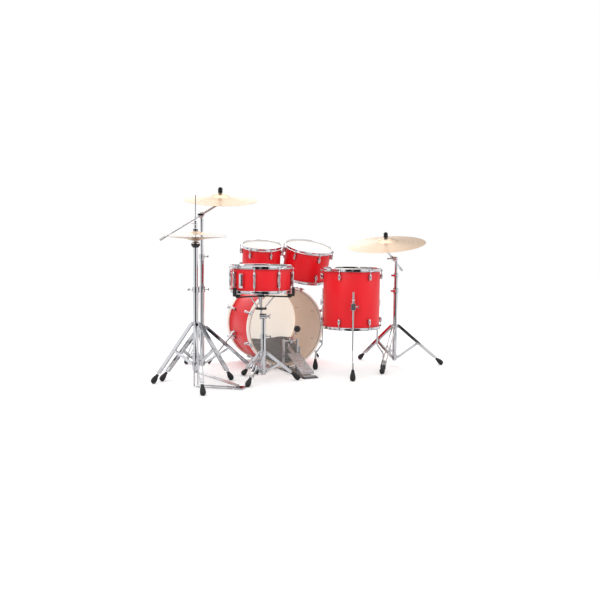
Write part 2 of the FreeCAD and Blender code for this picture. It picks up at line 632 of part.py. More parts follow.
def tripod(kit, prefix, column, feet):
    """Make a double-braced tripod around a column: collars, three legs and three braces."""
    low, high = kit.size(prefix + "_low"), kit.size(prefix + "_high")
    first = kit.size(prefix + "_leg_angle")
    circle = kit.size(prefix + "_foot_circle")
    hinge_radius = 27.0
    hinge = polar(hinge_radius, first, high)
    axis, neck, sole = leaning_foot(kit, hinge, circle, first)
    side = polar(1, first + 90)
    strip_end = neck - axis * 16
    frame = Rotation(axis, side, axis.cross(side), "XYZ")
    length = (strip_end - hinge).Length + 14
    middle = (hinge + strip_end) / 2
    width = kit.size("strip_width")
    parts = []
    lift = frame.multVec(UP) * (-width / 2)
    for share in (-1, 1):
        offset = side * (share * kit.size("strip_offset"))
        parts.append(kit.block(length, "strip_thickness", width,
                               Placement(middle + offset + lift, frame), prefix + "_leg_strip"))
    spread = 2 * kit.size("strip_offset")
    ankle = strip_end - axis * 8
    parts.append(kit.block(26, spread, width * 0.7, Placement(ankle + lift * 0.7, frame), "ankle"))
    parts.append(kit.rod(5.5, ankle, neck + axis * 22, "ankle_pin"))
    knee = hinge + axis * (length * 0.52)
    for centre in (hinge, knee):
        for share in (-1, 1):
            inner = centre + side * (share * (kit.size("strip_offset") + 1))
            parts.append(kit.rod(5, inner, inner + side * (share * 4), "rivet"))
    leg = kit.fuse(parts, prefix + "_leg")
    collar_low = polar(24.0, first, low)
    brace_axis = (knee - collar_low).normalize()
    brace_frame = Rotation(brace_axis, side, brace_axis.cross(side), "XYZ")
    brace_width = kit.size("brace_width")
    brace_lift = brace_frame.multVec(UP) * (-brace_width / 2)
    brace_length = (knee - collar_low).Length + 6
    brace_parts = []
    for share in (-1, 1):
        offset = side * (share * kit.size("brace_offset"))
        brace_parts.append(kit.block(brace_length, "brace_thickness", brace_width, Placement(
            (knee + collar_low) / 2 + offset + brace_lift, brace_frame), prefix + "_brace_strip"))
    spacer = (knee * 0.6 + collar_low * 0.4)
    brace_parts.append(kit.block(12, 2 * kit.size("brace_offset"), 8,
                                 Placement(spacer + brace_lift * 0.57, brace_frame), "spacer"))
    brace = kit.fuse(brace_parts, prefix + "_brace")
    places = [Placement(column, spin(120 * index)) for index in range(3)]
    socket = kit.cut(rubber_foot(kit, neck, sole), kit.rod(5.5, ankle, neck + axis * 22), "foot_bored")
    feet.append(kit.copies(prefix + "_feet", socket, places))
    pieces = [kit.copies(prefix + "_legs", leg, places), kit.copies(prefix + "_braces", brace, places)]
    for z, lug_reach, lug_width in ((high, 36.0, 15.0), (low, 30.0, 9.0)):
        ring = kit.rod("collar_radius", UP * (z - 12), UP * (z + 12), "collar")
        lugs = [kit.block(lug_reach - 12, lug_width, 12, facing(first + 120 * index, polar(
            (lug_reach + 12) / 2, first + 120 * index, z - 6)), "collar_lug") for index in range(3)]
        body = kit.fuse([ring] + lugs, prefix + "_collar")
        bored = kit.cut(body, kit.rod("tube_radius + 0.2", UP * (z - 20), UP * (z + 20)), "collar_bored")
        pieces.append(kit.copies(prefix + "_collar_set", bored, [Placement(column, Rotation())]))
    return pieces


def clamp_collar(kit, column, z, radius, angle, height=36.0):
    """Make the clamp collar at the top of a tube, with its wing bolt, above the tube's end."""
    base = column + UP * z
    ring = kit.rod(f"{radius} + 6.5", base, base + UP * height, "clamp_ring")
    side, out = polar(1, angle + 90), polar(1, angle)
    edge = base + UP * (height * 0.5) + out * kit.size(f"{radius} + 3")
    bolt = kit.rod(4, edge, edge + out * 26, "clamp_bolt")
    wing = kit.block(5, 34, 12, facing(angle, edge + out * 26 - UP * 6), "clamp_wing")
    body = kit.fuse([ring, bolt, wing], "clamp_body")
    bore = kit.rod(f"{radius} + 0.3", base - UP, base + UP * (height + 1), "clamp_bore")
    return kit.cut(body, bore, "clamp_collar")


def boom_stand(kit, prefix, feet):
    """Make a cymbal stand: tripod base, two telescoping tubes, boom, tilter and cymbal."""
    column = kit.spot(prefix + "_x", prefix + "_y")
    azimuth = kit.size(prefix + "_azimuth")
    joint, joint_top = kit.size(prefix + "_joint"), kit.size(prefix + "_joint_top")
    pivot_z = kit.size(prefix + "_pivot")
    low = kit.size(prefix + "_low")
    base = kit.pipe("tube_radius", "tube_radius - tube_wall", column + UP * (low - 22),
                    column + UP * joint, prefix + "_base_tube")
    collar = clamp_collar(kit, column, joint, "middle_radius", azimuth)
    kit.node(prefix + "_base", [base, collar] + tripod(kit, prefix, column, feet))
    middle = kit.pipe("middle_radius", "middle_radius - tube_wall", column + UP * (joint - 75),
                      column + UP * joint_top, prefix + "_middle_pipe")
    upper_collar = clamp_collar(kit, column, joint_top, "top_radius", azimuth, 30.0)
    kit.node(prefix + "_middle_tube", [middle, upper_collar])
    reach = polar(1, azimuth)
    side = polar(1, azimuth - 90)
    pivot = column + UP * pivot_z
    stem = kit.rod("top_radius", column + UP * (joint_top - 62), pivot - UP * 17, prefix + "_stem")
    neck = kit.rod(6.8, pivot - UP * 18, pivot, prefix + "_neck")
    fork = kit.rod("ratchet_radius", pivot - side * 7, pivot + side * 7, prefix + "_fork")
    kit.node(prefix + "_top_tube", [kit.fuse([stem, neck, fork], prefix + "_stem_solid")])
    incline = math.radians(kit.size(prefix + "_incline"))
    aim = (reach * math.cos(incline) + UP * math.sin(incline)).normalize()
    offset = side * kit.size("boom_side")
    grip = pivot + offset
    disc = kit.rod("ratchet_radius", pivot + side * 7.5, pivot + side * 16, prefix + "_ratchet")
    sleeve = kit.rod(12, grip - aim * 20, grip + aim * 20, prefix + "_sleeve")
    bolt = kit.rod(4, grip + side * 9, grip + side * 32, prefix + "_bolt")
    wing = kit.block(34, 5, 12, Placement(grip + side * 32 - UP * 6, spin(azimuth)), prefix + "_wing")
    clamp = kit.fuse([disc, sleeve, bolt, wing], prefix + "_clamp_solid")
    bore = kit.rod("boom_radius + 0.3", grip - aim * 30, grip + aim * 30, prefix + "_clamp_bore")
    kit.node(prefix + "_clamp", [kit.cut(clamp, bore, prefix + "_clamp_bored")])
    end = grip + aim * kit.size(prefix + "_reach")
    tail = grip - aim * kit.size(prefix + "_tail")
    boom = kit.rod("boom_radius", tail, end, prefix + "_boom_rod")
    head_disc = kit.rod(11, end - side * 6.4, end + side * 6.4, prefix + "_boom_head")
    tail_grip = kit.rod("boom_radius + 1.5", tail, tail + aim * 42, prefix + "_tail_grip")
    kit.node(prefix + "_boom", [kit.fuse([boom, head_disc, tail_grip], prefix + "_boom_solid")])
    cymbal_on_tilter(kit, prefix, end, side)


def cymbal_on_tilter(kit, prefix, end, side):
    """Make the tilter with its felts and wing cap at a boom's end, and the cymbal on it."""
    normal = normal_of(kit, prefix)
    root = end - side * 13.5
    height = kit.size(prefix + "_cymbal_height")
    plane = root + normal * 25
    crown = plane + normal * height
    under = crown - normal * kit.size("cymbal_thickness + felt_gap")
    over = crown + normal * kit.size("felt_gap")
    felt = kit.size("felt_height")
    disc = kit.rod(11, end - side * 6.8, end - side * 17, prefix + "_tilter_disc")
    post = kit.rod("post_thread", root, over + normal * (felt + 26), prefix + "_tilter_post")
    nut = kit.rod(9, root + normal * 18, under - normal * felt, prefix + "_tilter_sleeve")
    low_felt = kit.cone("felt_radius * 0.9", "felt_radius * 0.5", under - normal * felt, under)
    high_felt = kit.cone("felt_radius * 0.5", "felt_radius", over, over + normal * felt)
    cap = kit.rod(13, over + normal * felt, over + normal * (felt + 20), prefix + "_wing_cap")
    stack = kit.fuse([disc, post, nut, low_felt, high_felt, cap], prefix + "_tilter_solid")
    kit.node(prefix + "_tilter", [stack])
    kit.node(prefix + "_cymbal", [cymbal(kit, prefix + "_bronze", prefix + "_cymbal_radius",
                                         prefix + "_cymbal_height", Placement(plane, along(normal)))])


def cymbal(kit, name, radius, height, place):
    """Make a cymbal: a bow that falls to the edge and a domed bell with its hole."""
    bell = f"{radius} * 0.27"
    shoulder = f"{height} * 0.48"
    skin = "cymbal_thickness"
    outline = [
        (6.5, height), (f"{bell} * 0.45", f"{height} * 0.95"), (f"{bell} * 0.8", f"{height} * 0.76"),
        (bell, f"{shoulder} + {skin}"), (f"{radius} * 0.65", f"{height} * 0.27 + {skin}"), (radius, skin),
        (radius, 0), (f"{radius} * 0.65", f"{height} * 0.27"), (bell, shoulder),
        (f"{bell} * 0.8", f"{height} * 0.76 - {skin}"), (f"{bell} * 0.45", f"{height} * 0.95 - {skin}"),
        (6.5, f"{height} - {skin}"),
    ]
    return kit.turned(name, outline, place)


def hihat(kit, feet):
    """Make the hi-hat stand: base, pedal, upper tube with its seat, pull rod and two cymbals."""
    column = kit.spot("hihat_x", "hihat_y")
    low, joint = kit.size("hihat_low"), kit.size("hihat_joint")
    angle = kit.size("hihat_pedal_angle")
    tube = kit.pipe("tube_radius", "tube_radius - tube_wall", column + UP * (low + 60),
                    column + UP * joint, "hihat_base_tube")
    casting = kit.pipe("collar_radius", 8, column + UP * (low - 35), column + UP * (low + 59.8),
                       "hihat_casting")
    collar = clamp_collar(kit, column, joint, "middle_radius", angle + 180, 30.0)
    out, side = polar(1, angle), polar(1, angle + 90)
    length = kit.size("hihat_pedal_length")
    pieces = [tube, casting, collar] + tripod(kit, "hihat", column, feet)
    for share in (-1, 1):
        post = column + side * (share * 27)
        pieces.append(kit.block(5, 10, low + 4, facing(angle, post + UP * 4), "stirrup"))
        middle = column + out * (length * 0.5 - 10) + side * (share * 27)
        pieces.append(kit.block(length - 45, 9, 6, facing(angle, middle), "radius_rod"))
    pieces.append(kit.block(46, 76, 10, facing(angle, column + out * (length + 6)), "heel_plate"))
    kit.node("hihat_base", pieces)
    heel = column + out * (length - 14) + UP * 17
    toe = column + UP * kit.size("hihat_toe_z")
    slope = (heel - toe).normalize()
    frame = Rotation(slope, side, slope.cross(side), "XYZ")
    board = kit.block((heel - toe).Length, 42, 5, Placement((heel + toe) / 2, frame), "hihat_board")
    strap = kit.block(3, 9, 34, facing(angle, toe + out * 1.6 - UP * 4), "hihat_strap")
    hinge = kit.rod(5, heel - side * 30 - UP * 1, heel + side * 30 - UP * 1, "heel_hinge")
    kit.node("hihat_footboard", [kit.fuse([board, hinge, strap], "hihat_board_solid")])
    seat = kit.size("hihat_seat")
    upper = kit.pipe("middle_radius", "middle_radius - tube_wall", column + UP * (joint - 90),
                     column + UP * seat, "hihat_upper_pipe")
    bell = kit.size("hihat_bottom_bell")
    cup = kit.turned("hihat_cup", [(6, 0), (14, 0), (25, 14), (25, 26), (10, 36.5), (6, 36.5)],
                     Placement(column + UP * seat, Rotation()))
    kit.node("hihat_upper_tube", [upper, cup])
    height, gap = kit.size("hihat_height"), kit.size("hihat_gap")
    flip = Rotation(Vector(1, 0, 0), 180)
    rim = bell + height
    kit.node("hihat_bottom_cymbal", [cymbal(kit, "hihat_bottom_bronze", "hihat_radius", "hihat_height",
                                            Placement(column + UP * rim, flip))])
    crown = rim + gap + height
    kit.node("hihat_top_cymbal", [cymbal(kit, "hihat_top_bronze", "hihat_radius", "hihat_height",
                                         Placement(column + UP * (rim + gap), Rotation()))])
    rod = kit.rod("hihat_rod_radius", column + UP * (low + 85),
                  column + UP * kit.size("hihat_rod_top"), "pull_rod")
    felt_low = kit.rod(11, column + UP * (crown - 9), column + UP * (crown - 1.7), "clutch_felt_low")
    felt_high = kit.rod(14, column + UP * (crown + 0.3), column + UP * (crown + 11), "clutch_felt_high")
    clutch = kit.rod(9, column + UP * (crown + 11), column + UP * (crown + 58), "clutch_body")
    screw = kit.rod(3.5, column + UP * (crown + 44), column + UP * (crown + 44) - out * 26, "clutch_screw")
    nut = kit.rod(8, column + UP * (crown - 16), column + UP * (crown - 9), "clutch_nut")
    kit.node("hihat_pull_rod", [kit.fuse([rod, felt_low, felt_high, clutch, screw, nut], "pull_rod_solid")])


def snare_stand(kit, feet):
    """Make the snare stand: tripod, upper tube with its tilter, and the three-arm basket."""
    column = kit.spot("snare_stand_x", "snare_stand_y")
    low, joint = kit.size("snare_low"), kit.size("snare_joint")
    tilter_z, nut_z = kit.size("snare_tilter_z"), kit.size("snare_nut_z")
    base = kit.pipe("tube_radius", "tube_radius - tube_wall", column + UP * (low - 22),
                    column + UP * (joint - 14), "snare_base_tube")
    collar = clamp_collar(kit, column, joint - 14, "middle_radius", -20.0, 28.0)
    kit.node("snare_base", [base, collar] + tripod(kit, "snare", column, feet))
    side = polar(1, -24.5)
    pivot = column + UP * tilter_z
    stem = kit.rod("middle_radius", column + UP * (joint - 80), pivot - UP * 19, "snare_stem")
    neck = kit.rod(7, pivot - UP * 20, pivot, "snare_neck")
    fork = kit.rod(17, pivot - side * 7.5, pivot + side * 7.5, "snare_fork")
    kit.node("snare_upper_tube", [kit.fuse([stem, neck, fork], "snare_stem_solid")])
    drum = kit.spot("snare_x", "snare_y")
    disc = kit.rod(17, pivot - side * 8.2, pivot - side * 22, "snare_tilter_disc")
    start = Vector(drum.x, drum.y, tilter_z + 20)
    link = kit.rod(5.5, pivot - side * 14.4, start + UP * 4, "snare_link")
    bottom = kit.size("snare_bottom - hoop_height + hoop_drop")
    spindle = kit.rod(7, start, Vector(drum.x, drum.y, bottom - 22), "snare_spindle")
    nut = kit.rod("basket_nut_radius", Vector(drum.x, drum.y, nut_z - 5), Vector(drum.x, drum.y, nut_z + 5),
                  "basket_nut")
    crown = Vector(drum.x, drum.y, bottom - 28)
    hub_top = kit.rod(19, crown, crown + UP * 14, "basket_hub")
    metal = [disc, link, spindle, nut, hub_top]
    grips = []
    grip_radius = kit.size("basket_grip")
    for index in range(3):
        angle = kit.size("basket_angle") + 120 * index
        middle = crown + polar(grip_radius * 0.5, angle, 3)
        metal.append(kit.block(grip_radius - 10, 12, 8, facing(angle, middle), "basket_arm"))
        foot = Vector(drum.x, drum.y, nut_z + 2) + polar(20, angle)
        knee = crown + polar(grip_radius * 0.42, angle, 4)
        metal.append(kit.rod(4, foot, knee, "basket_strut"))
        seat = crown + polar(grip_radius - 7, angle, 12)
        floor = kit.block(38, 22, 12, facing(angle, seat), "grip_floor")
        outside = crown + polar(grip_radius + 6.5, angle, 12)
        wall = kit.block(11, 22, 52, facing(angle, outside), "grip_wall")
        grips.append(kit.fuse([floor, wall], "basket_grip"))
    kit.node("snare_basket", [kit.fuse(metal, "basket_metal")] + grips)


def kick_pedal(kit):
    """Make the kick pedal: base frame, footboard, and the axle with its cam and beater."""
    axle = kit.spot(0, "kick_axle_y", "kick_axle_z")
    hinge = kit.spot(0, "kick_hinge_y", "kick_hinge_z")
    right = Vector(1, 0, 0)
    back, front = kit.size("kick_hinge_y") - 50, 12.0
    plate = kit.block("kick_plate_width", front - back, 4,
                      Placement(kit.spot(0, (front + back) / 2, 0), Rotation()), "pedal_plate")
    heel = kit.block("kick_board_width", 44, 10,
                     Placement(kit.spot(0, kit.size("kick_hinge_y") - 26, 3.5), Rotation()), "heel_plate")
    frame = [plate, heel]
    for share in (-1, 1):
        foot = Vector(axle.x + share * 48, axle.y, 3.5)
        frame.append(kit.block(11, 24, axle.z + 12 - 3.5, Placement(foot, Rotation()), "pedal_post"))
    clamp = kit.block(30, 12, 8, Placement(kit.spot(0, 2, 15.2), Rotation()), "hoop_tongue")
    riser = kit.block(30, 12, 20, Placement(kit.spot(0, -7, 3.5), Rotation()), "hoop_riser")
    frame += [clamp, riser]
    spring = kit.rod(8, Vector(axle.x + 64, axle.y, 40), Vector(axle.x + 64, axle.y, 150), "return_spring")
    stay = kit.rod(3, Vector(axle.x + 50, axle.y, 46), Vector(axle.x + 64, axle.y, 46), "spring_stay")
    kit.node("kick_frame", [kit.fuse(frame + [spring, stay], "pedal_frame")])
    tilt = Rotation(right, kit.size("kick_board_angle"))
    length = kit.size("kick_board_length")
    ahead = tilt.multVec(Vector(0, 1, 0))
    board = kit.block("kick_board_width", length, 6,
                      Placement(hinge + ahead * (length / 2 + 4), tilt), "board")
    tongue = kit.block(26, 94, 6, Placement(hinge + ahead * (length + 43), tilt), "board_toe")
    toe = hinge + ahead * (length + 84)
    chain = kit.block(10, 4, axle.z - toe.z - 5, Placement(Vector(toe.x, axle.y + 23, toe.z + 2),
                                                           Rotation()), "chain")
    pin = kit.rod(4, hinge - right * 40, hinge + right * 40, "board_hinge")
    kit.node("kick_footboard", [kit.fuse([board, tongue, pin, chain], "board_solid")])
    lean = math.radians(kit.size("kick_beater_lean"))
    reach = Vector(0, -math.sin(lean), math.cos(lean))
    bar = kit.rod(5, axle - right * 42, axle + right * 42, "axle")
    cam = kit.rod(20, axle - right * 8, axle + right * 8, "cam")
    hub = kit.rod(9, axle, axle + reach * 34, "beater_hub")
    shaft = kit.rod(3, axle, axle + reach * kit.size("kick_beater_reach"), "beater_shaft")
    beater = kit.ball("kick_beater_radius", axle + reach * kit.size("kick_beater_reach"), "beater_ball")
    kit.node("kick_beater", [kit.fuse([bar, cam, hub, shaft, beater], "beater_solid")])


def write(kit):
    """Check every object and every sub-part's shape, then write one STEP file for each sub-part."""
    kit.doc.recompute()
    failed = [item.Label for item in kit.doc.Objects if "Invalid" in item.State or "Error" in item.State]
    if failed:
        raise RuntimeError(f"these objects failed: {failed}")
    for item in kit.nodes:
        if item.Shape.isNull() or not item.Shape.isValid() or not item.Shape.Solids:
            raise RuntimeError(f"the shape of {item.Label} is not a valid solid")
    os.makedirs("parts", exist_ok=True)
    for item in kit.nodes:
        item.Shape.exportStep(os.path.join("parts", item.Label + ".step"))
    print(len(kit.nodes), "sub-parts written")


def main():
    """Build the kit drum by drum and stand by stand, and write it."""
    kit = Kit()
    feet = []
    bass_drum(kit)
    brackets(kit)
    spurs(kit)
    tom(kit, "tom10", -1)
    tom(kit, "tom12", 1)
    floor_tom(kit)
    snare_drum(kit)
    snare_stand(kit, feet)
    hihat(kit, feet)
    boom_stand(kit, "crash", feet)
    boom_stand(kit, "ride", feet)
    kick_pedal(kit)
    kit.node("stand_feet", feet)
    write(kit)


main()
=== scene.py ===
"""Looks of a five-piece acoustic drum kit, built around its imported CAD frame.
"""

from __future__ import annotations

import json
import logging
import math
from collections.abc import Callable, Sequence
from dataclasses import dataclass, field
from enum import Enum
from typing import Any

import bmesh
import bpy
import numpy as np
from mathutils import Matrix, Vector

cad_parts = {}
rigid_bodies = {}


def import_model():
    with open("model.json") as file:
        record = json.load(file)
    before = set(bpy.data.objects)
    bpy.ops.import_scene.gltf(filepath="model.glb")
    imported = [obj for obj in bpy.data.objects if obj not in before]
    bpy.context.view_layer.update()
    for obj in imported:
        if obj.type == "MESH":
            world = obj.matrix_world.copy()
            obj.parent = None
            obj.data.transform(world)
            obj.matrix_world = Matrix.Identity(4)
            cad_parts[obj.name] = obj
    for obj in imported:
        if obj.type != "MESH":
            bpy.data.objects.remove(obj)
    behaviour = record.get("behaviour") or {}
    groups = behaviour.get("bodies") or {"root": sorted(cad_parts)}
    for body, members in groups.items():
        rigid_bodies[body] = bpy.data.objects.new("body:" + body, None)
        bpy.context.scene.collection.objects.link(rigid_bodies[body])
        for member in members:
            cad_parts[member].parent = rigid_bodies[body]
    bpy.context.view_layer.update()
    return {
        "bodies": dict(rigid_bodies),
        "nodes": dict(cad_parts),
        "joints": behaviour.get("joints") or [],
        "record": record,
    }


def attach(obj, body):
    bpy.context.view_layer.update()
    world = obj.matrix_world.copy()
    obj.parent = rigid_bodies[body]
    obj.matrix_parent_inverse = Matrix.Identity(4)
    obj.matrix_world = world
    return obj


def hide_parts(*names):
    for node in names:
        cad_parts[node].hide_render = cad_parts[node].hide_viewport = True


LOG = logging.getLogger("drum_kit")
MM = 0.001
INCH = 25.4
MERGE = 1e-6
UP = Vector((0.0, 0.0, 1.0))
Outline = Sequence[tuple[float, float]]


# Finishes -----------------------------------------------------------------------------------

def linear(code: str) -> tuple[float, float, float, float]:
    """Turn an sRGB hex colour into Blender's linear one.

    Args:
        code: The colour as "#RRGGBB".

    Returns:
        The linear red, green, blue and an alpha of 1.
    """
    parts = [int(code[index:index + 2], 16) / 255 for index in (1, 3, 5)]
    red, green, blue = (c / 12.92 if c <= 0.04045 else ((c + 0.055) / 1.055) ** 2.4 for c in parts)
    return red, green, blue, 1.0


def add_node(tree: bpy.types.NodeTree, kind: str, inputs: dict[str | int, Any] | None = None,
             **settings: Any) -> bpy.types.Node:
    """Add a shader node, with its settings, its values and its links.

    Args:
        tree: The material's node tree.
        kind: The node's type.
        inputs: A value or a socket to link, for each input's name or number.
        **settings: The node's own properties.

    Returns:
        The new node.
    """
    node = tree.nodes.new(kind)
    for name, value in settings.items():
        setattr(node, name, value)
    for name, value in (inputs or {}).items():
        if isinstance(value, bpy.types.NodeSocket):
            tree.links.new(value, node.inputs[name])
        else:
            node.inputs[name].default_value = value
    return node


@dataclass(frozen=True)
class Finish:
    """A surface of one colour, before any pattern."""

    name: str
    colour: str
    metallic: float = 0.0
    roughness: float = 0.5
    coat: float = 0.0
    coat_roughness: float = 0.1
    sheen: float = 0.0
    alpha: float = 1.0
    specular: float = 0.5
    # glow: emission in the finish's own colour, painted light that brightens a surface beyond what the
    # lamps give
    glow: float = 0.0

    def material(self) -> bpy.types.Material:
        """Return the material of this finish, made once."""
        known = bpy.data.materials.get(self.name)
        if known:
            return known
        made = bpy.data.materials.new(self.name)
        made.use_nodes = True
        tree = made.node_tree
        shader = tree.nodes["Principled BSDF"]
        values = {
            "Base Color": linear(self.colour), "Metallic": self.metallic, "Roughness": self.roughness,
            "Coat Weight": self.coat, "Coat Roughness": self.coat_roughness,
            "Sheen Weight": self.sheen, "Alpha": self.alpha, "Specular IOR Level": self.specular,
            "Emission Color": linear(self.colour), "Emission Strength": self.glow,
        }
        for name, value in values.items():
            shader.inputs[name].default_value = value
        self.dress(tree, shader)
        return made

    def dress(self, tree: bpy.types.NodeTree, shader: bpy.types.Node) -> None:
        """Add this finish's pattern to its shader; a plain finish has none."""

    def mottle(self, tree: bpy.types.NodeTree, size_mm: float, detail: float = 3.0) -> bpy.types.Node:
        """Return a noise whose features are about a size in millimetres."""
        place = add_node(tree, "ShaderNodeTexCoord")
        return add_node(tree, "ShaderNodeTexNoise", {
            "Vector": place.outputs["Object"], "Scale": 1000.0 / size_mm, "Detail": detail})

    def vary(self, tree: bpy.types.NodeTree, shader: bpy.types.Node, factor: bpy.types.NodeSocket,
             other: str) -> None:
        """Blend the base colour towards another one by a factor."""
        mix = add_node(tree, "ShaderNodeMix", {0: factor, 6: linear(self.colour), 7: linear(other)},
                       data_type="RGBA")
        tree.links.new(mix.outputs[2], shader.inputs["Base Color"])

    def spread(self, tree: bpy.types.NodeTree, value: bpy.types.NodeSocket, low: float,
               high: float) -> bpy.types.NodeSocket:
        """Map a noise's middle values onto a range."""
        span = add_node(tree, "ShaderNodeMapRange", {
            "Value": value, "From Min": 0.3, "From Max": 0.7, "To Min": low, "To Max": high})
        return span.outputs["Result"]

    def emboss(self, tree: bpy.types.NodeTree, shader: bpy.types.Node, height: bpy.types.NodeSocket,
               depth_mm: float, strength: float = 1.0) -> None:
        """Bump the surface by a height field of a depth in millimetres."""
        bump = add_node(tree, "ShaderNodeBump", {
            "Height": height, "Distance": depth_mm * MM, "Strength": strength})
        tree.links.new(bump.outputs["Normal"], shader.inputs["Normal"])


@dataclass(frozen=True)
class Lacquer(Finish):
    """Pigmented polyurethane lacquer sprayed on a shell: a satin film with a faint orange peel."""

    peel_mm: float = 3.5
    deep: str = "#DE1526"

    def dress(self, tree: bpy.types.NodeTree, shader: bpy.types.Node) -> None:
        """Add the peel, and the slow drift of colour of a sprayed coat."""
        cloud = self.mottle(tree, 160.0, 2.0)
        self.vary(tree, shader, self.spread(tree, cloud.outputs["Fac"], 0.0, 0.35), self.deep)
        peel = self.mottle(tree, self.peel_mm, 2.0)
        self.emboss(tree, shader, peel.outputs["Fac"], 0.03, 0.5)


@dataclass(frozen=True)
class Veneer(Finish):
    """Sanded maple ply: fine grain that runs round the shell, which reads as soft pale bands."""

    dark: str = "#A5846B"
    grain_mm: float = 5.0

    def dress(self, tree: bpy.types.NodeTree, shader: bpy.types.Node) -> None:
        """Stretch a noise round the shell, across the drum's own Y axis."""
        place = add_node(tree, "ShaderNodeTexCoord")
        stretch = add_node(tree, "ShaderNodeMapping", {
            "Vector": place.outputs["Object"], "Scale": (0.06, 1.0, 0.06)})
        grain = add_node(tree, "ShaderNodeTexNoise", {
            "Vector": stretch.outputs["Vector"], "Scale": 1000.0 / self.grain_mm, "Detail": 5.0,
            "Distortion": 0.4})
        self.vary(tree, shader, self.spread(tree, grain.outputs["Fac"], 0.0, 0.9), self.dark)
        self.emboss(tree, shader, grain.outputs["Fac"], 0.08, 0.4)


@dataclass(frozen=True)
class Plate(Finish):
    """Mirror chrome plate on steel: cool and bright, with a little haze from handling."""

    haze: float = 0.10

    def dress(self, tree: bpy.types.NodeTree, shader: bpy.types.Node) -> None:
        """Vary the gloss slowly, as wiped chrome does."""
        cloud = self.mottle(tree, 45.0, 3.0)
        tree.links.new(self.spread(tree, cloud.outputs["Fac"], self.roughness, self.haze),
                       shader.inputs["Roughness"])


@dataclass(frozen=True)
class LathedBronze(Finish):
    """Hammered and lathed bronze: fine tonal grooves round the bell, over shallow hammer marks."""

    groove_mm: float = 2.2
    hammer_mm: float = 26.0
    shade: str = "#C6A684"

    def dress(self, tree: bpy.types.NodeTree, shader: bpy.types.Node) -> None:
        """Cut grooves by the radius stored on the mesh, drawn wider than real ones so they show."""
        radius = add_node(tree, "ShaderNodeAttribute", attribute_name="groove_radius")
        turns = add_node(tree, "ShaderNodeMath", {
            0: radius.outputs["Fac"], 1: math.tau * 1000.0 / self.groove_mm}, operation="MULTIPLY")
        wave = add_node(tree, "ShaderNodeMath", {0: turns.outputs[0]}, operation="SINE")
        band = add_node(tree, "ShaderNodeTexNoise", {
            "W": radius.outputs["Fac"], "Scale": 90.0, "Detail": 6.0}, noise_dimensions="1D")
        marks = self.mottle(tree, self.hammer_mm, 1.0)
        tone = self.spread(tree, band.outputs["Fac"], 0.0, 0.8)
        self.vary(tree, shader, tone, self.shade)
        fine = add_node(tree, "ShaderNodeMath", {0: wave.outputs[0], 1: 0.05}, operation="MULTIPLY")
        height = add_node(tree, "ShaderNodeMath", {0: fine.outputs[0], 1: marks.outputs["Fac"]},
                          operation="ADD")
        self.emboss(tree, shader, height.outputs[0], 0.7, 0.35)


@dataclass(frozen=True)
class Grained(Finish):
    """A moulded or coated surface whose fine grain only softens the light."""

    grain_mm: float = 1.5
    depth_mm: float = 0.06
    fleck: str = ""
    fleck_share: float = 0.5

    def dress(self, tree: bpy.types.NodeTree, shader: bpy.types.Node) -> None:
        """Add the grain, and flecks of a second colour where the finish has one."""
        grain = self.mottle(tree, self.grain_mm, 4.0)
        if self.fleck:
            self.vary(tree, shader, self.spread(tree, grain.outputs["Fac"], 0.0, self.fleck_share),
                      self.fleck)
        self.emboss(tree, shader, grain.outputs["Fac"], self.depth_mm, 0.7)


@dataclass(frozen=True)
class Sweep(Finish):
    grey: str = "#D6D6D7"
    reach: float = 1.5

    def dress(self, tree: bpy.types.NodeTree, shader: bpy.types.Node) -> None:
        dull = add_node(tree, "ShaderNodeBsdfDiffuse", {"Color": linear(self.grey)})
        place = add_node(tree, "ShaderNodeTexCoord")
        length = add_node(tree, "ShaderNodeVectorMath", {0: place.outputs["Object"]}, operation="LENGTH")
        far = add_node(tree, "ShaderNodeMath", {0: length.outputs["Value"], 1: self.reach},
                       operation="GREATER_THAN")
        ray = add_node(tree, "ShaderNodeLightPath")
        ends = add_node(tree, "ShaderNodeMath", {0: far.outputs[0], 1: ray.outputs["Is Glossy Ray"]},
                        operation="MULTIPLY")
        gone = add_node(tree, "ShaderNodeBsdfTransparent")
        near = add_node(tree, "ShaderNodeMixShader", {0: ends.outputs[0], 1: dull.outputs[0],
                                                      2: gone.outputs[0]})
        mix = add_node(tree, "ShaderNodeMixShader", {
            0: ray.outputs["Is Camera Ray"], 1: near.outputs[0], 2: shader.outputs[0]})
        tree.links.new(mix.outputs[0], tree.nodes["Material Output"].inputs["Surface"])


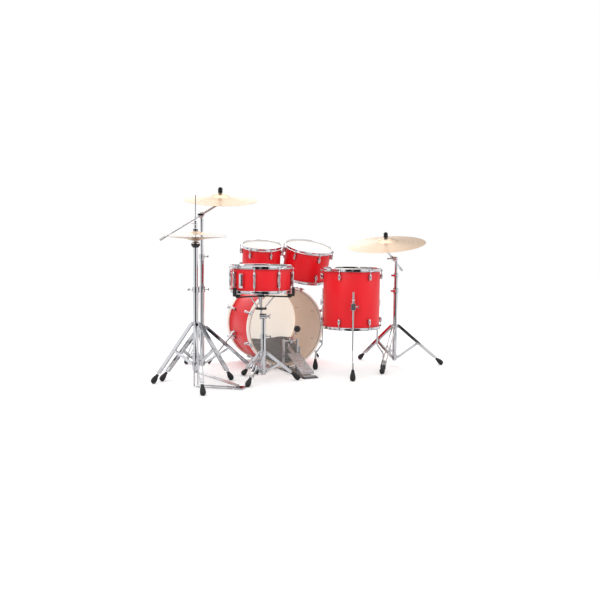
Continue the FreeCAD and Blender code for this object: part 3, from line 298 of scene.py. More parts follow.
class Kind(Enum):
    RED = Lacquer("satin_red_lacquer", "#F2111F", roughness=0.45, coat=0.12, coat_roughness=0.22,
                  specular=0.35)
    # The hoop finish's glow is painted light that lifts the pale wood out of the shade it sits in.
    HOOP = Veneer("pale_gloss_maple_painted_glow", "#F6EBE2", roughness=0.3, coat=0.6, coat_roughness=0.08,
                  glow=0.16, dark="#EDDFD3", grain_mm=7.0)
    # The maple's glow is painted light that brightens the inside of every shell, where the lamps barely
    # reach.
    MAPLE = Veneer("sanded_maple_ply_painted_glow", "#E2C6AE", roughness=0.55, glow=0.14, dark="#C9A88E")
    CHROME = Plate("chrome_plated_steel", "#D9DADD", metallic=1.0, roughness=0.05, haze=0.11)
    SATIN_METAL = Plate("cast_aluminium", "#C4C4C6", metallic=0.7, roughness=0.25, haze=0.36)
    DARK_METAL = Plate("black_nickel_steel", "#77777B", metallic=1.0, roughness=0.18, haze=0.28)
    BRONZE = LathedBronze("lathed_bronze", "#DCC6B0", metallic=0.85, roughness=0.36)
    COATED = Grained("coated_drum_film", "#E6E0DA", roughness=0.55, grain_mm=1.6, depth_mm=0.05)
    WHITE_FILM = Grained("smooth_white_film", "#E9E4DD", roughness=0.3, grain_mm=6.0, depth_mm=0.02)
    # This film's strong glow is painted light, standing for light coming through the front head as seen
    # from inside the bass drum.
    LIT_FILM = Grained("white_film_painted_backlight", "#F1EEE5", roughness=0.3, glow=0.66, grain_mm=6.0,
                       depth_mm=0.02)
    CLEAR = Finish("clear_polyester_film", "#F4F4F2", roughness=0.06, alpha=0.1)
    RUBBER = Grained("moulded_black_rubber", "#1B1B1D", roughness=0.62, grain_mm=1.2, depth_mm=0.08)
    NYLON = Grained("black_nylon", "#161617", roughness=0.38, grain_mm=0.9, depth_mm=0.03)
    FELT = Grained("pressed_black_felt", "#1D1D1F", roughness=0.95, sheen=0.4, grain_mm=0.9,
                   depth_mm=0.25, fleck="#3A3A3D")
    GREY_FELT = Grained("grey_felt_damping", "#3B3E42", roughness=0.95, sheen=0.15, grain_mm=1.4,
                        depth_mm=0.3, fleck="#4E5256")
    WIRE = Plate("steel_wire", "#B9BBBF", metallic=1.0, roughness=0.2, haze=0.3)


# Mesh work ----------------------------------------------------------------------------------

def frame_of(axis: Vector, origin: Vector, towards: Vector | None = None) -> Matrix:
    """Return a place whose +Z is an axis and whose +X leans towards a direction.

    Args:
        axis: The direction of +Z.
        origin: The place of the origin.
        towards: The direction nearest to which +X points, or any.
    """
    tall = axis.normalized()
    lean = towards if towards is not None else tall.orthogonal()
    wide = (lean - tall * lean.dot(tall)).normalized()
    turn = Matrix((wide, tall.cross(wide), tall)).transposed()
    return Matrix.Translation(origin) @ turn.to_4x4()


def mm(x: float, y: float, z: float) -> Vector:
    """Return a vector given in millimetres."""
    return Vector((x, y, z)) * MM


def shift(x: float, y: float, z: float) -> Matrix:
    """Return a move given in millimetres."""
    return Matrix.Translation(mm(x, y, z))


class Sculpt:
    """A mesh that grows part by part.

    Each part is made in millimetres at its own origin, and then put in its place in metres.
    """

    def __init__(self) -> None:
        """Start with nothing."""
        self.bm = bmesh.new()

    def take(self, part: bmesh.types.BMesh, place: Matrix, finish: int) -> None:
        """Add a part's faces at a place, and free the part.

        Args:
            part: The part, at its own origin.
            place: Where it goes.
            finish: The number of its material slot.
        """
        for face in part.faces:
            face.material_index = finish
        bmesh.ops.transform(part, matrix=place @ Matrix.Scale(MM, 4), verts=part.verts)
        mesh = bpy.data.meshes.new("part")
        part.to_mesh(mesh)
        part.free()
        self.bm.from_mesh(mesh)
        bpy.data.meshes.remove(mesh)

    def stamp(self, other: Sculpt, places: Sequence[Matrix]) -> None:
        """Repeat another sculpt's mesh at each place, keep its slots, and free it."""
        mesh = bpy.data.meshes.new("stamp")
        other.bm.to_mesh(mesh)
        other.bm.free()
        for place in places:
            mesh.transform(place)
            self.bm.from_mesh(mesh)
            mesh.transform(place.inverted())
        bpy.data.meshes.remove(mesh)

    def lathe(self, outline: Outline, place: Matrix = Matrix.Identity(4), steps: int = 64,
              finish: int = 0, closed: bool = False) -> None:
        """Spin an outline of radius and height about the place's Z axis.

        Args:
            outline: The points of the outline; one that starts and ends on the axis is solid.
            place: Where the turned part goes.
            steps: The number of steps of a full turn.
            finish: The number of its material slot.
            closed: Whether the last point joins the first, as on a ring.
        """
        part = bmesh.new()
        verts = [part.verts.new((radius, 0.0, height)) for radius, height in outline]
        pairs = list(zip(verts, verts[1:])) + ([(verts[-1], verts[0])] if closed else [])
        edges = [part.edges.new(pair) for pair in pairs]
        bmesh.ops.spin(part, geom=verts + edges, cent=(0, 0, 0), axis=UP, angle=math.tau,
                       steps=steps, use_merge=True, use_duplicate=False)
        bmesh.ops.remove_doubles(part, verts=part.verts, dist=MERGE / MM)
        bmesh.ops.recalc_face_normals(part, faces=part.faces)
        self.take(part, place, finish)

    def rod(self, start: Vector, end: Vector, radius: float, end_radius: float | None = None,
            sides: int = 20, finish: int = 0) -> None:
        length = (end - start).length / MM
        tip = radius if end_radius is None else end_radius
        soft = min(0.6, length * 0.2, radius * 0.3)
        outline = [(0, 0), (radius - soft, 0), (radius, soft), (tip, length - soft),
                   (max(tip - soft, 0.2), length), (0, length)]
        self.lathe(outline, frame_of(end - start, start), sides, finish)

    def ring(self, radius: float, wire: float, place: Matrix, steps: int = 20, finish: int = 0) -> None:
        """Make a torus of a round wire about the place's Z axis."""
        outline = [(radius + wire * math.cos(turn), wire * math.sin(turn))
                   for turn in (math.tau * index / 8 for index in range(8))]
        self.lathe(outline, place, steps, finish, closed=True)

    def box(self, size: Sequence[float], place: Matrix, finish: int = 0, soft: float = 0.6) -> None:
        """Make a block that is centred on its place, with softened edges."""
        part = bmesh.new()
        bmesh.ops.create_cube(part, size=1.0)
        bmesh.ops.scale(part, vec=Vector(size), verts=part.verts)
        bmesh.ops.bevel(part, geom=part.edges, offset=min(soft, min(size) * 0.3), segments=2,
                        profile=0.5, affect="EDGES", material=-1, clamp_overlap=True)
        self.take(part, place, finish)

    def ball(self, radii: Sequence[float], place: Matrix, finish: int = 0, rings: int = 12) -> None:
        """Make an ellipsoid of three radii."""
        part = bmesh.new()
        bmesh.ops.create_uvsphere(part, u_segments=rings * 2, v_segments=rings, radius=1.0)
        bmesh.ops.scale(part, vec=Vector(radii), verts=part.verts)
        self.take(part, place, finish)

    def coil(self, radius: float, wire: float, turns: int, length: float, place: Matrix,
             finish: int = 0) -> None:
        """Wind a spring about the place's Z axis by spinning a wire's section as it climbs."""
        part = bmesh.new()
        steps = turns * 14
        section = bmesh.ops.create_circle(part, segments=8, radius=wire, matrix=Matrix.Translation(
            (radius, 0, 0)) @ Matrix.Rotation(math.pi / 2, 4, "X"))
        edges = list({edge for vert in section["verts"] for edge in vert.link_edges})
        bmesh.ops.spin(part, geom=section["verts"] + edges, cent=(0, 0, 0), axis=UP,
                       dvec=UP * (length / steps), angle=math.tau * turns, steps=steps)
        bmesh.ops.recalc_face_normals(part, faces=part.faces)
        self.take(part, place, finish)

    def piece(self, name: str, finishes: Sequence[Kind], crease: float = 32.0) -> bpy.types.Object:
        """End the work as one object at the origin.

        Args:
            name: The piece's name.
            finishes: The finish of each material slot.
            crease: The angle in degrees past which an edge stays sharp.

        Returns:
            The new object.
        """
        mesh = bpy.data.meshes.new(name)
        self.bm.to_mesh(mesh)
        self.bm.free()
        for finish in finishes:
            mesh.materials.append(finish.value.material())
        mesh.shade_smooth()
        mesh.set_sharp_from_angle(angle=math.radians(crease))
        made = bpy.data.objects.new(name, mesh)
        bpy.context.scene.collection.objects.link(made)
        return made


def soften(piece: bpy.types.Object, width: float) -> None:
    """Round a piece's sharp edges by a bevel of a width in millimetres."""
    bevel = piece.modifiers.new("soft_edges", "BEVEL")
    bevel.width, bevel.segments, bevel.limit_method = width * MM, 2, "ANGLE"
    bevel.angle_limit = math.radians(40.0)
    bevel.use_clamp_overlap = True


class Workshop:
    """The frame, and the ways in which a piece takes its place in it."""

    def __init__(self, frame: dict[str, Any]) -> None:
        """Keep the frame and the body of each node."""
        self.frame = frame
        groups = frame["record"]["behaviour"]["bodies"]
        self.body_of = {node: body for body, nodes in groups.items() for node in nodes}
        self.slot_of = {row["node"]: row["material_slot"] for row in frame["record"]["subparts"]}
        self.done: set[str] = set()
        self.cache: dict[str, tuple[bmesh.types.BMesh, list[list[bmesh.types.BMVert]]]] = {}

    def solids(self, node: str) -> list[np.ndarray]:
        """Return the points of each separate solid of a CAD node."""
        return [np.array([vert.co[:] for vert in group]) for group in self.groups(node)[1]]

    def groups(self, node: str) -> tuple[bmesh.types.BMesh, list[list[bmesh.types.BMVert]]]:
        """Return a merged copy of a CAD node's mesh, and its vertices solid by solid."""
        if node in self.cache:
            return self.cache[node]
        bm = bmesh.new()
        bm.from_mesh(self.frame["nodes"][node].data)
        bmesh.ops.remove_doubles(bm, verts=bm.verts, dist=MERGE)
        found, left = [], set(bm.verts)
        while left:
            seed = left.pop()
            group, queue = [seed], [seed]
            while queue:
                for edge in queue.pop().link_edges:
                    for vert in edge.verts:
                        if vert in left:
                            left.remove(vert)
                            group.append(vert)
                            queue.append(vert)
            found.append(group)
        found.sort(key=lambda group: tuple(round(sum(v.co[i] for v in group) / len(group), 5)
                                           for i in (0, 1, 2)))
        self.cache[node] = (bm, found)
        return self.cache[node]

    def axis(self, points: np.ndarray, side: Vector) -> tuple[Vector, Vector]:
        """Return the middle and the axis of a turned solid.

        Args:
            points: The solid's points.
            side: The direction with which the axis agrees.

        Returns:
            The mean point and the unit axis.
        """
        middle = points.mean(0)
        values, vectors = np.linalg.eigh(np.cov((points - middle).T))
        odd = 0 if values[1] - values[0] > values[2] - values[1] else 2
        direction = Vector(vectors[:, odd])
        return Vector(middle), direction if direction.dot(side) > 0 else -direction

    def recast(self, node: str, name: str, finishes: Sequence[Kind], bevel: float = 0.5,
               chosen: Sequence[int] | None = None,
               rule: Callable[[Vector], int] | None = None) -> bpy.types.Object:
        """Copy solids of a CAD node into a piece whose edges are rounded.

        Args:
            node: The CAD node.
            name: The piece's name.
            finishes: Its finishes.
            bevel: The width of the rounding.
            chosen: The numbers of the solids to copy, or all of them.
            rule: What tells a face's finish from its middle, or the first finish for all.

        Returns:
            The piece, which rides with the node's body and stands for the node.
        """
        bm, groups = self.groups(node)
        keep = {vert for index in (range(len(groups)) if chosen is None else chosen)
                for vert in groups[index]}
        sculpt = Sculpt()
        twin = {vert: sculpt.bm.verts.new(vert.co) for vert in bm.verts if vert in keep}
        for face in bm.faces:
            if face.verts[0] in keep and sculpt.bm.faces.get([twin[v] for v in face.verts]) is None:
                made = sculpt.bm.faces.new([twin[vert] for vert in face.verts])
                made.material_index = rule(face.calc_center_median()) if rule else 0
        bmesh.ops.dissolve_limit(sculpt.bm, angle_limit=math.radians(0.6), verts=sculpt.bm.verts,
                                 edges=sculpt.bm.edges, delimit={"MATERIAL"})
        piece = sculpt.piece(name, finishes)
        if bevel:
            soften(piece, bevel)
        return self.fit(piece, node)

    def plate(self, *nodes: str, bevel: float = 0.5) -> None:
        """Recast each node whole in chrome plate."""
        for node in nodes:
            self.recast(node, node + "_steel", [Kind.CHROME], bevel)

    def fit(self, piece: bpy.types.Object, *nodes: str) -> bpy.types.Object:
        """Let a piece ride with the first node's body and stand for the nodes."""
        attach(piece, self.body_of[nodes[0]])
        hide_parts(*nodes)
        self.done.update(nodes)
        LOG.info("made %s for %s", piece.name, ", ".join(nodes))
        return piece

    def joint(self, name: str) -> tuple[Vector, Vector]:
        """Return a hinge's place and axis."""
        found = next(j for j in self.frame["record"]["behaviour"]["joints"] if j["name"] == name)
        return Vector(found.get("pos_m", (0, 0, 0))), Vector(found["axis"])


# Drums --------------------------------------------------------------------------------------

@dataclass
class Drum:
    """A drum with flanged steel hoops, heads and lugs, in its own frame: +Z up its axis."""

    shop: Workshop
    prefix: str
    head_radius: float
    depth: float
    double_lugs: bool = False
    wall: float = 6.0
    steps: int = 128
    lug_limit: float = 56.0
    place: Matrix = field(init=False)

    def __post_init__(self) -> None:
        """Find the drum's middle and axis from its CAD shell."""
        middle, axis = self.shop.axis(self.shop.solids(self.prefix + "_shell")[0], self.upward())
        towards = Vector((1, 0, 0)) if abs(axis.x) < 0.9 else UP
        self.place = frame_of(axis, middle, towards)

    def upward(self) -> Vector:
        """Return the direction of the batter side's end of the axis."""
        return UP

    def shell(self) -> None:
        """Make the shell: lacquer outside, and bare maple with a painted glow inside and on the bearing
        edges.
        """
        radius, half = self.shell_radius(), self.depth / 2
        inner, edge = radius - self.wall, 1.2
        outline = [
            (inner, half - self.wall + edge), (inner, -half + self.wall - edge),
            (radius - 1.6, -half), (radius - 0.9, -half),
            (radius, -half + 2), (radius, half - 2),
            (radius - 0.9, half), (radius - 1.6, half),
        ]
        sculpt = Sculpt()
        sculpt.lathe(outline, steps=self.steps, closed=True)
        for face in sculpt.bm.faces:
            middle = face.calc_center_median()
            if math.hypot(middle.x, middle.y) < (radius - 1.2) * MM:
                # Inside faces and bearing edges take the maple, whose glow is painted light.
                face.material_index = 1
        bmesh.ops.transform(sculpt.bm, matrix=self.place, verts=sculpt.bm.verts)
        piece = sculpt.piece(self.prefix + "_lacquered_shell", [Kind.RED, Kind.MAPLE])
        self.shop.fit(piece, self.prefix + "_shell")

    def shell_radius(self) -> float:
        """Return the shell's outer radius, a little under the head's."""
        return self.head_radius - 1.5

    def end(self, sign: int) -> Matrix:
        """Return the place of a bearing edge, with +Z out of the drum."""
        flip = Matrix.Identity(4) if sign > 0 else Matrix.Rotation(math.pi, 4, "X")
        return self.place @ flip @ shift(0, 0, self.depth / 2)

    def lug_angles(self, sign: int) -> list[float]:
        """Return each lug's angle about an end's axis, read from the CAD lugs."""
        back = self.end(sign).inverted()
        angles = []
        for points in self.lug_solids():
            middle = back @ Vector(points.mean(0))
            if self.double_lugs or middle.z > -self.depth / 2 * MM:
                angles.append(math.atan2(middle.y, middle.x))
        return sorted(angles)

    def lug_node(self) -> str:
        """Return the CAD node that holds the lugs."""
        return self.prefix + "_lugs"

    def lug_solids(self) -> list[np.ndarray]:
        """Return the CAD solids that are lugs, which are longer than the brackets among them."""
        solids = self.shop.solids(self.lug_node())
        return [points for points in solids if np.ptp(points, axis=0).max() > self.lug_limit * MM]

    def brackets(self) -> None:
        """Keep the cast brackets of the lugs' node, with rounded edges."""
        solids = self.shop.solids(self.lug_node())
        chosen = [index for index, points in enumerate(solids)
                  if np.ptp(points, axis=0).max() <= self.lug_limit * MM]
        if chosen:
            self.shop.recast(self.lug_node(), self.prefix + "_cast_brackets", [Kind.CHROME], 1.0,
                             chosen)

    def hoops(self) -> None:
        """Make both triple-flanged hoops, with an ear at each lug."""
        inner, steel = self.head_radius + 2.1, 2.2
        outer = inner + steel
        outline = [
            (inner, -8), (outer + 5.4, -8), (outer + 6.2, -7.2),
            (outer + 6.2, -6.4), (outer + 5.4, -5.8), (outer + 1.2, -5.6),
            (outer + 0.2, -4.6), (outer, -3), (outer, 5.6),
            (outer + 0.5, 7.4), (outer + 2.2, 8.2), (outer + 2.9, 9.2),
            (outer + 2.9, 10.2), (outer + 2.1, 10.9), (outer - 0.2, 10.6),
            (inner + 0.4, 9.2), (inner, 7),
        ]
        sculpt = Sculpt()
        for sign in (1, -1):
            end = self.end(sign)
            sculpt.lathe(outline, end, self.steps, closed=True)
            for angle in self.lug_angles(sign):
                ear = end @ Matrix.Rotation(angle, 4, "Z")
                middle = ear @ shift(outer + 8, 0, -6.8)
                sculpt.box((13.5, 15.5, 2.3), middle, soft=0.9)
        piece = sculpt.piece(self.prefix + "_flanged_hoops", [Kind.CHROME])
        self.shop.fit(piece, self.prefix + "_hoops")

    def heads(self) -> None:
        """Make the coated batter head and the thin resonant head, each with its flesh hoop."""
        film, collar = self.shell_radius() - 0.8, self.head_radius + 1.4
        outline = [
            (0, 0.1), (film - 4, 0.1), (film, 0.05), (film + 1.2, -1.4),
            (film + 1.3, -8), (collar, -8), (collar, -1.0),
            (collar - 0.6, -0.3), (film + 1.4, 0.3), (film - 4, 0.55),
            (0, 0.55),
        ]
        for sign, kind, side in ((1, Kind.COATED, "batter"), (-1, Kind.WHITE_FILM, "resonant")):
            sculpt = Sculpt()
            sculpt.lathe(outline, self.end(sign), self.steps)
            for face in sculpt.bm.faces:
                middle = self.end(sign).inverted() @ face.calc_center_median()
                if math.hypot(middle.x, middle.y) > (film + 1.5) * MM and middle.z < -0.6 * MM:
                    face.material_index = 1
            piece = sculpt.piece(f"{self.prefix}_{side}_head", [kind, Kind.SATIN_METAL])
            self.shop.fit(piece, self.prefix + "_heads")

    def lugs(self) -> None:
        """Make the cast lugs, their gaskets, and the tension rods with washers and key heads."""
        sculpt, one = Sculpt(), Sculpt()
        self.lug(one, Matrix.Identity(4))
        sculpt.stamp(one, [self.end(sign) @ Matrix.Rotation(angle, 4, "Z")
                           for sign in ((1,) if self.double_lugs else (1, -1))
                           for angle in self.lug_angles(sign)])
        piece = sculpt.piece(self.prefix + "_cast_lugs", [Kind.CHROME, Kind.NYLON])
        self.shop.fit(piece, self.lug_node())
        self.brackets()

    def lug(self, sculpt: Sculpt, edge: Matrix) -> None:
        """Make one lug and its rods below a bearing edge whose +X points outwards."""
        reach = self.head_radius + 11.5
        face = self.shell_radius() + 0.4
        top, length = -24, (self.depth - 48 if self.double_lugs else 36)
        middle = top - length / 2
        thick = reach - face
        gasket = edge @ shift(face + 0.4, 0, middle)
        sculpt.box((1.0, 14, length * 0.92), gasket, 1, 0.4)
        body = edge @ shift(face + thick * 0.42, 0, middle)
        sculpt.ball((thick * 0.62, 7, length * 0.47), body)
        barrel = edge @ shift(reach, 0, 0)
        ends = [(top, 1)] + ([(top - length, -1)] if self.double_lugs else [])
        waist = [(0, top - length), (4.2, top - length), (6.6, top - length + 4),
                 (7.0, middle - length * 0.2), (4.6, middle), (7.0, middle + length * 0.2),
                 (6.6, top - 4), (4.2, top), (0, top)]
        pear = [(0, top - length), (3.0, top - length + 0.6), (5.6, top - length + 5),
                (7.2, middle - 2), (6.8, middle + 8), (5.0, top - 1.2),
                (4.4, top), (0, top)]
        sculpt.lathe(waist if self.double_lugs else pear, barrel, 24)
        for start, sign in ends:
            rim = -5.2 if sign > 0 else -self.depth + 5.2
            foot, head = barrel @ mm(0, 0, start - sign * 2), barrel @ mm(0, 0, rim)
            out = (head - foot).normalized()
            sculpt.rod(foot, head + out * 0.5 * MM, 2.7, sides=14)
            sculpt.rod(head, head + out * 1.4 * MM, 5.2, sides=20)
            sculpt.rod(head + out * 1.4 * MM, head + out * 3.2 * MM, 4.4, 3.2, sides=20)
            key = frame_of(out, head + out * 5.6 * MM, edge.to_3x3() @ Vector((1, 0, 0)))
            sculpt.box((5.0, 5.0, 5.4), key, soft=0.5)

    def build(self) -> None:
        """Make every part of the drum."""
        self.shell()
        self.hoops()
        self.heads()
        self.lugs()


@dataclass
class BassDrum(Drum):
    """The bass drum: wooden hoops, claws, a clear batter head and a pillow inside."""

    hoop_outer: float = 265
    hoop_inner: float = 256.5
    hoop_width: float = 40
    recess: float = 13
    rod_circle: float = 272.5
    tip_height: float = 26.0

    def upward(self) -> Vector:
        """Return the way from the batter head to the front head."""
        return Vector((0, 1, 0))

    def shell_radius(self) -> float:
        """Return the shell's outer radius."""
        return 251.5

    def lug_solids(self) -> list[np.ndarray]:
        """Return the CAD solids that are lugs, which are all of them."""
        return self.shop.solids(self.lug_node())

    def brackets(self) -> None:
        """Leave the brackets to their own node."""

    def hoop_place(self, sign: int) -> Matrix:
        """Return the place of a hoop's outer face, with +Z into the drum."""
        return self.end(sign) @ shift(0, 0, self.recess) @ Matrix.Rotation(math.pi, 4, "X")

    def hoops(self) -> None:
        """Make the two pale wooden hoops."""
        low, high, soft = self.hoop_inner, self.hoop_outer, 1.6
        width = self.hoop_width
        outline = [
            (low, soft), (low + soft * 0.3, soft * 0.3), (low + soft, 0), (high - soft, 0),
            (high - soft * 0.3, soft * 0.3), (high, soft), (high, width - soft),
            (high - soft * 0.3, width - soft * 0.3), (high - soft, width), (low + soft, width),
            (low + soft * 0.3, width - soft * 0.3), (low, width - soft),
        ]
        sculpt = Sculpt()
        for sign in (1, -1):
            sculpt.lathe(outline, self.hoop_place(sign), 160, closed=True)
        piece = sculpt.piece("bass_wooden_hoops", [Kind.HOOP])
        self.shop.fit(piece, "bass_hoops")

    def heads(self) -> None:
        """Make the clear batter head and the white front head, each with its metal flesh hoop; the front
        head's inner face has a painted glow.
        """
        film, collar = self.shell_radius() - 0.8, self.hoop_inner - 0.7
        outline = [
            (0, 0.1), (film - 4, 0.1), (film, 0.05), (film + 1.4, -1.6),
            (film + 1.5, -8.6), (collar, -8.6), (collar, -1.2),
            (collar - 0.8, -0.4), (film + 1.6, 0.3), (film - 4, 0.6),
            (0, 0.6),
        ]
        for sign, node, kind in ((-1, "bass_batter_head", Kind.CLEAR),
                                 (1, "bass_front_head", Kind.LIT_FILM)):
            sculpt = Sculpt()
            sculpt.lathe(outline, self.end(sign), 160)
            back = self.end(sign).inverted()
            for face in sculpt.bm.faces:
                middle = back @ face.calc_center_median()
                if math.hypot(middle.x, middle.y) > (film + 1.55) * MM:
                    face.material_index = 1
                # The front head's outer face takes the plain white film; its inner face keeps the
                # painted glow.
                elif sign > 0 and middle.z > 0.2 * MM:
                    face.material_index = 2
            piece = sculpt.piece(node + "_film", [kind, Kind.SATIN_METAL, Kind.WHITE_FILM])
            self.shop.fit(piece, node)

    def lugs(self) -> None:
        """Make the shell lugs with their inside screws, and the claws with their T-rods."""
        lugs, claws, one_lug, one_claw = Sculpt(), Sculpt(), Sculpt(), Sculpt()
        self.bass_lug(one_lug, Matrix.Identity(4))
        self.claw(one_claw, Matrix.Identity(4))
        places = [self.hoop_place(sign) @ Matrix.Rotation(-angle, 4, "Z")
                  for sign in (1, -1) for angle in self.lug_angles(sign)]
        lugs.stamp(one_lug, places)
        claws.stamp(one_claw, places)
        piece = lugs.piece("bass_cast_lugs", [Kind.CHROME, Kind.NYLON])
        self.shop.fit(piece, "bass_lugs")
        piece = claws.piece("bass_claw_hooks", [Kind.CHROME, Kind.NYLON])
        self.shop.fit(piece, "bass_claws")

    def bass_lug(self, sculpt: Sculpt, edge: Matrix) -> None:
        """Make one lug on the shell, and the two screws that hold it from inside."""
        start, length = 62, 46
        face, middle = self.shell_radius() + 0.5, start + length / 2
        thick = self.rod_circle - face
        sculpt.box((1.2, 17, length * 0.9),
                   edge @ shift(face + 0.4, 0, middle), 1, 0.5)
        sculpt.ball((thick * 0.6, 8.2, length * 0.46),
                    edge @ shift(face + thick * 0.42, 0, middle))
        pear = [(0, start), (4.6, start), (6.0, start + 2), (8.4, middle - 6),
                (8.2, middle + 6), (5.5, start + length - 4),
                (2.6, start + length - 0.6), (0, start + length)]
        sculpt.lathe(pear, edge @ shift(self.rod_circle, 0, 0), 24)
        inside = self.shell_radius() - self.wall
        for offset in (-11, 11):
            screw = edge @ mm(inside + 0.3, 0, middle + offset)
            inward = edge.to_3x3() @ Vector((-1, 0, 0))
            sculpt.rod(screw, screw + inward * 1.2 * MM, 6.0, sides=20)
            sculpt.rod(screw + inward * 1.0 * MM, screw + inward * 3.4 * MM, 4.4, 3.6, 12, 1)

    def claw(self, sculpt: Sculpt, edge: Matrix) -> None:
        """Make one claw over the hoop's edge, with its rod and T-handle."""
        rim = self.hoop_outer + 0.6
        back = edge @ shift(rim + 3.4, 0, 8)
        sculpt.box((6.4, 20, 24), back, soft=2.2)
        sculpt.box((0.9, 18, 22), edge @ shift(rim, 0, 9), 1, 0.3)
        lip = edge @ shift(rim - 2.2, 0, -2.6)
        sculpt.box((15, 20, 3.2), lip, soft=1.4)
        base = edge @ shift(self.rod_circle, 0, 0)
        sculpt.rod(base @ mm(0, 0, 14), base @ mm(0, 0, 64), 3.0, sides=14)
        boss = [(0, -9), (4.6, -8.6), (6.0, -5), (6.4, 2),
                (5.2, 16), (0, 16)]
        sculpt.lathe(boss, base, 20)
        bar = base @ mm(0, 0, -12.4)
        reach = base.to_3x3() @ mm(0, 15.4, 0)
        sculpt.rod(base @ mm(0, 0, -8), bar, 3.4, sides=14)
        sculpt.rod(bar - reach, bar + reach, 2.9, sides=14)
        for way in (-1, 1):
            knob = base @ shift(0, way * 15, -12.4)
            sculpt.ball((3.3, 3.6, 3.3), knob, rings=8)

    def pillow(self) -> None:
        """Make the felt damping pillow: a slack crowned pad that lies in the shell's curve."""
        piece = self.shop.recast("bass_pillow", "bass_damping_pillow", [Kind.GREY_FELT], 0.0)
        remesh = piece.modifiers.new("even", "REMESH")
        remesh.mode, remesh.voxel_size = "VOXEL", 0.009
        smooth = piece.modifiers.new("round", "SMOOTH")
        smooth.factor, smooth.iterations = 0.8, 14
        sag = bpy.data.textures.new("pillow_sag", "CLOUDS")
        sag.noise_scale = 0.11
        crumple = piece.modifiers.new("crumple", "DISPLACE")
        crumple.texture, crumple.strength, crumple.mid_level = sag, -0.022, 0.35
        crumple.texture_coords = "GLOBAL"
        bpy.context.view_layer.update()
        graph = bpy.context.evaluated_depsgraph_get()
        settled = bpy.data.meshes.new_from_object(piece.evaluated_get(graph))
        piece.modifiers.clear()
        piece.data = settled
        settled.shade_smooth()

    def fittings(self) -> None:
        """Make the spur brackets and the tom mount, and the spurs with their rubber tips."""
        self.shop.recast("bass_mount_brackets", "bass_brackets_cast", [Kind.CHROME], 1.0)
        for node in ("bass_spur_left", "bass_spur_right"):
            self.shop.recast(node, node + "_steel", [Kind.CHROME, Kind.RUBBER], 0.6,
                             rule=lambda middle: int(middle.z < self.tip_height * MM))

    def build(self) -> None:
        """Make every part of the bass drum."""
        super().build()
        self.pillow()
        self.fittings()


# Cymbals ------------------------------------------------------------------------------------

@dataclass
class Cymbal:
    """A cymbal of lathed bronze, with a cupped bell and a shallow bow."""

    shop: Workshop
    node: str
    radius: float
    height: float
    upward: Vector = field(default_factory=lambda: UP.copy())
    skin: float = 1.2
    hole: float = 6.5
    place: Matrix = field(init=False)

    def __post_init__(self) -> None:
        """Find the cymbal's edge plane and axis from its CAD solid."""
        points = self.shop.solids(self.node)[0]
        middle, axis = self.shop.axis(points, self.upward)
        heights = (points - np.array(middle)) @ np.array(axis)
        across = np.linalg.norm(np.cross(points - np.array(middle), np.array(axis)), axis=1)
        edge = float(heights[across > self.radius * 0.98 * MM].min())
        self.place = frame_of(axis, middle + axis * edge)

    def top(self, radius: float) -> float:
        """Return the height of the upper face at a radius."""
        bell = self.radius * 0.27
        shoulder = self.height * 0.48
        if radius >= bell:
            share = (radius - bell) / (self.radius - bell)
            return self.skin + shoulder * (1 - share) ** 1.25
        share = radius / bell
        return shoulder + self.skin + (self.height - shoulder - self.skin) * (1 - share ** 2.3)

    def build(self) -> None:
        """Spin the profile and store each point's radius for the grooves."""
        fine = 40
        radii = [self.hole + (self.radius - 0.5 - self.hole) * index / fine for index in range(fine + 1)]
        upper = [(radius, self.top(radius)) for radius in radii]
        lower = [(radius, self.top(radius) - self.skin) for radius in reversed(radii)]
        rim = [(self.radius - 0.1, self.skin * 0.7), (self.radius - 0.1, self.skin * 0.3)]
        sculpt = Sculpt()
        sculpt.lathe(upper + rim + lower, steps=144, closed=True)
        layer = sculpt.bm.verts.layers.float.new("groove_radius")
        for vert in sculpt.bm.verts:
            vert[layer] = math.hypot(vert.co.x, vert.co.y)
        bmesh.ops.transform(sculpt.bm, matrix=self.place, verts=sculpt.bm.verts)
        piece = sculpt.piece(self.node + "_bronze", [Kind.BRONZE], crease=50.0)
        self.shop.fit(piece, self.node)


# Stands -------------------------------------------------------------------------------------

@dataclass
class Stands:
    """The rubber feet that all four stands share."""

    shop: Workshop
    wide: float = 16.8

    def build(self) -> None:
        """Turn each foot as a smooth teardrop about its CAD solid's axis."""
        sculpt = Sculpt()
        shape = ((0, 0), (0.4, 0), (0.46, 0.03), (0.50, 0.10), (0.58, 0.2), (0.72, 0.32), (0.86, 0.44),
                 (0.95, 0.55), (0.995, 0.66), (1.0, 0.74), (0.97, 0.82), (0.9, 0.895), (0.78, 0.95),
                 (0.62, 0.985), (0.5, 1.0), (0, 1.0))
        for points in self.shop.solids("stand_feet"):
            middle, axis = self.shop.axis(points, -UP)
            along = (points - np.array(middle)) @ np.array(axis)
            start = middle + axis * float(along.min())
            length = float(np.ptp(along))
            outline = [(radius * self.wide, share * length / MM) for radius, share in shape]
            sculpt.lathe(outline, frame_of(axis, start), 40)
            sculpt.ring(self.wide * 0.5, 1.4, frame_of(axis, start + axis * length * 0.07), 28)
        self.shop.fit(sculpt.piece("teardrop_feet", [Kind.RUBBER]), "stand_feet")


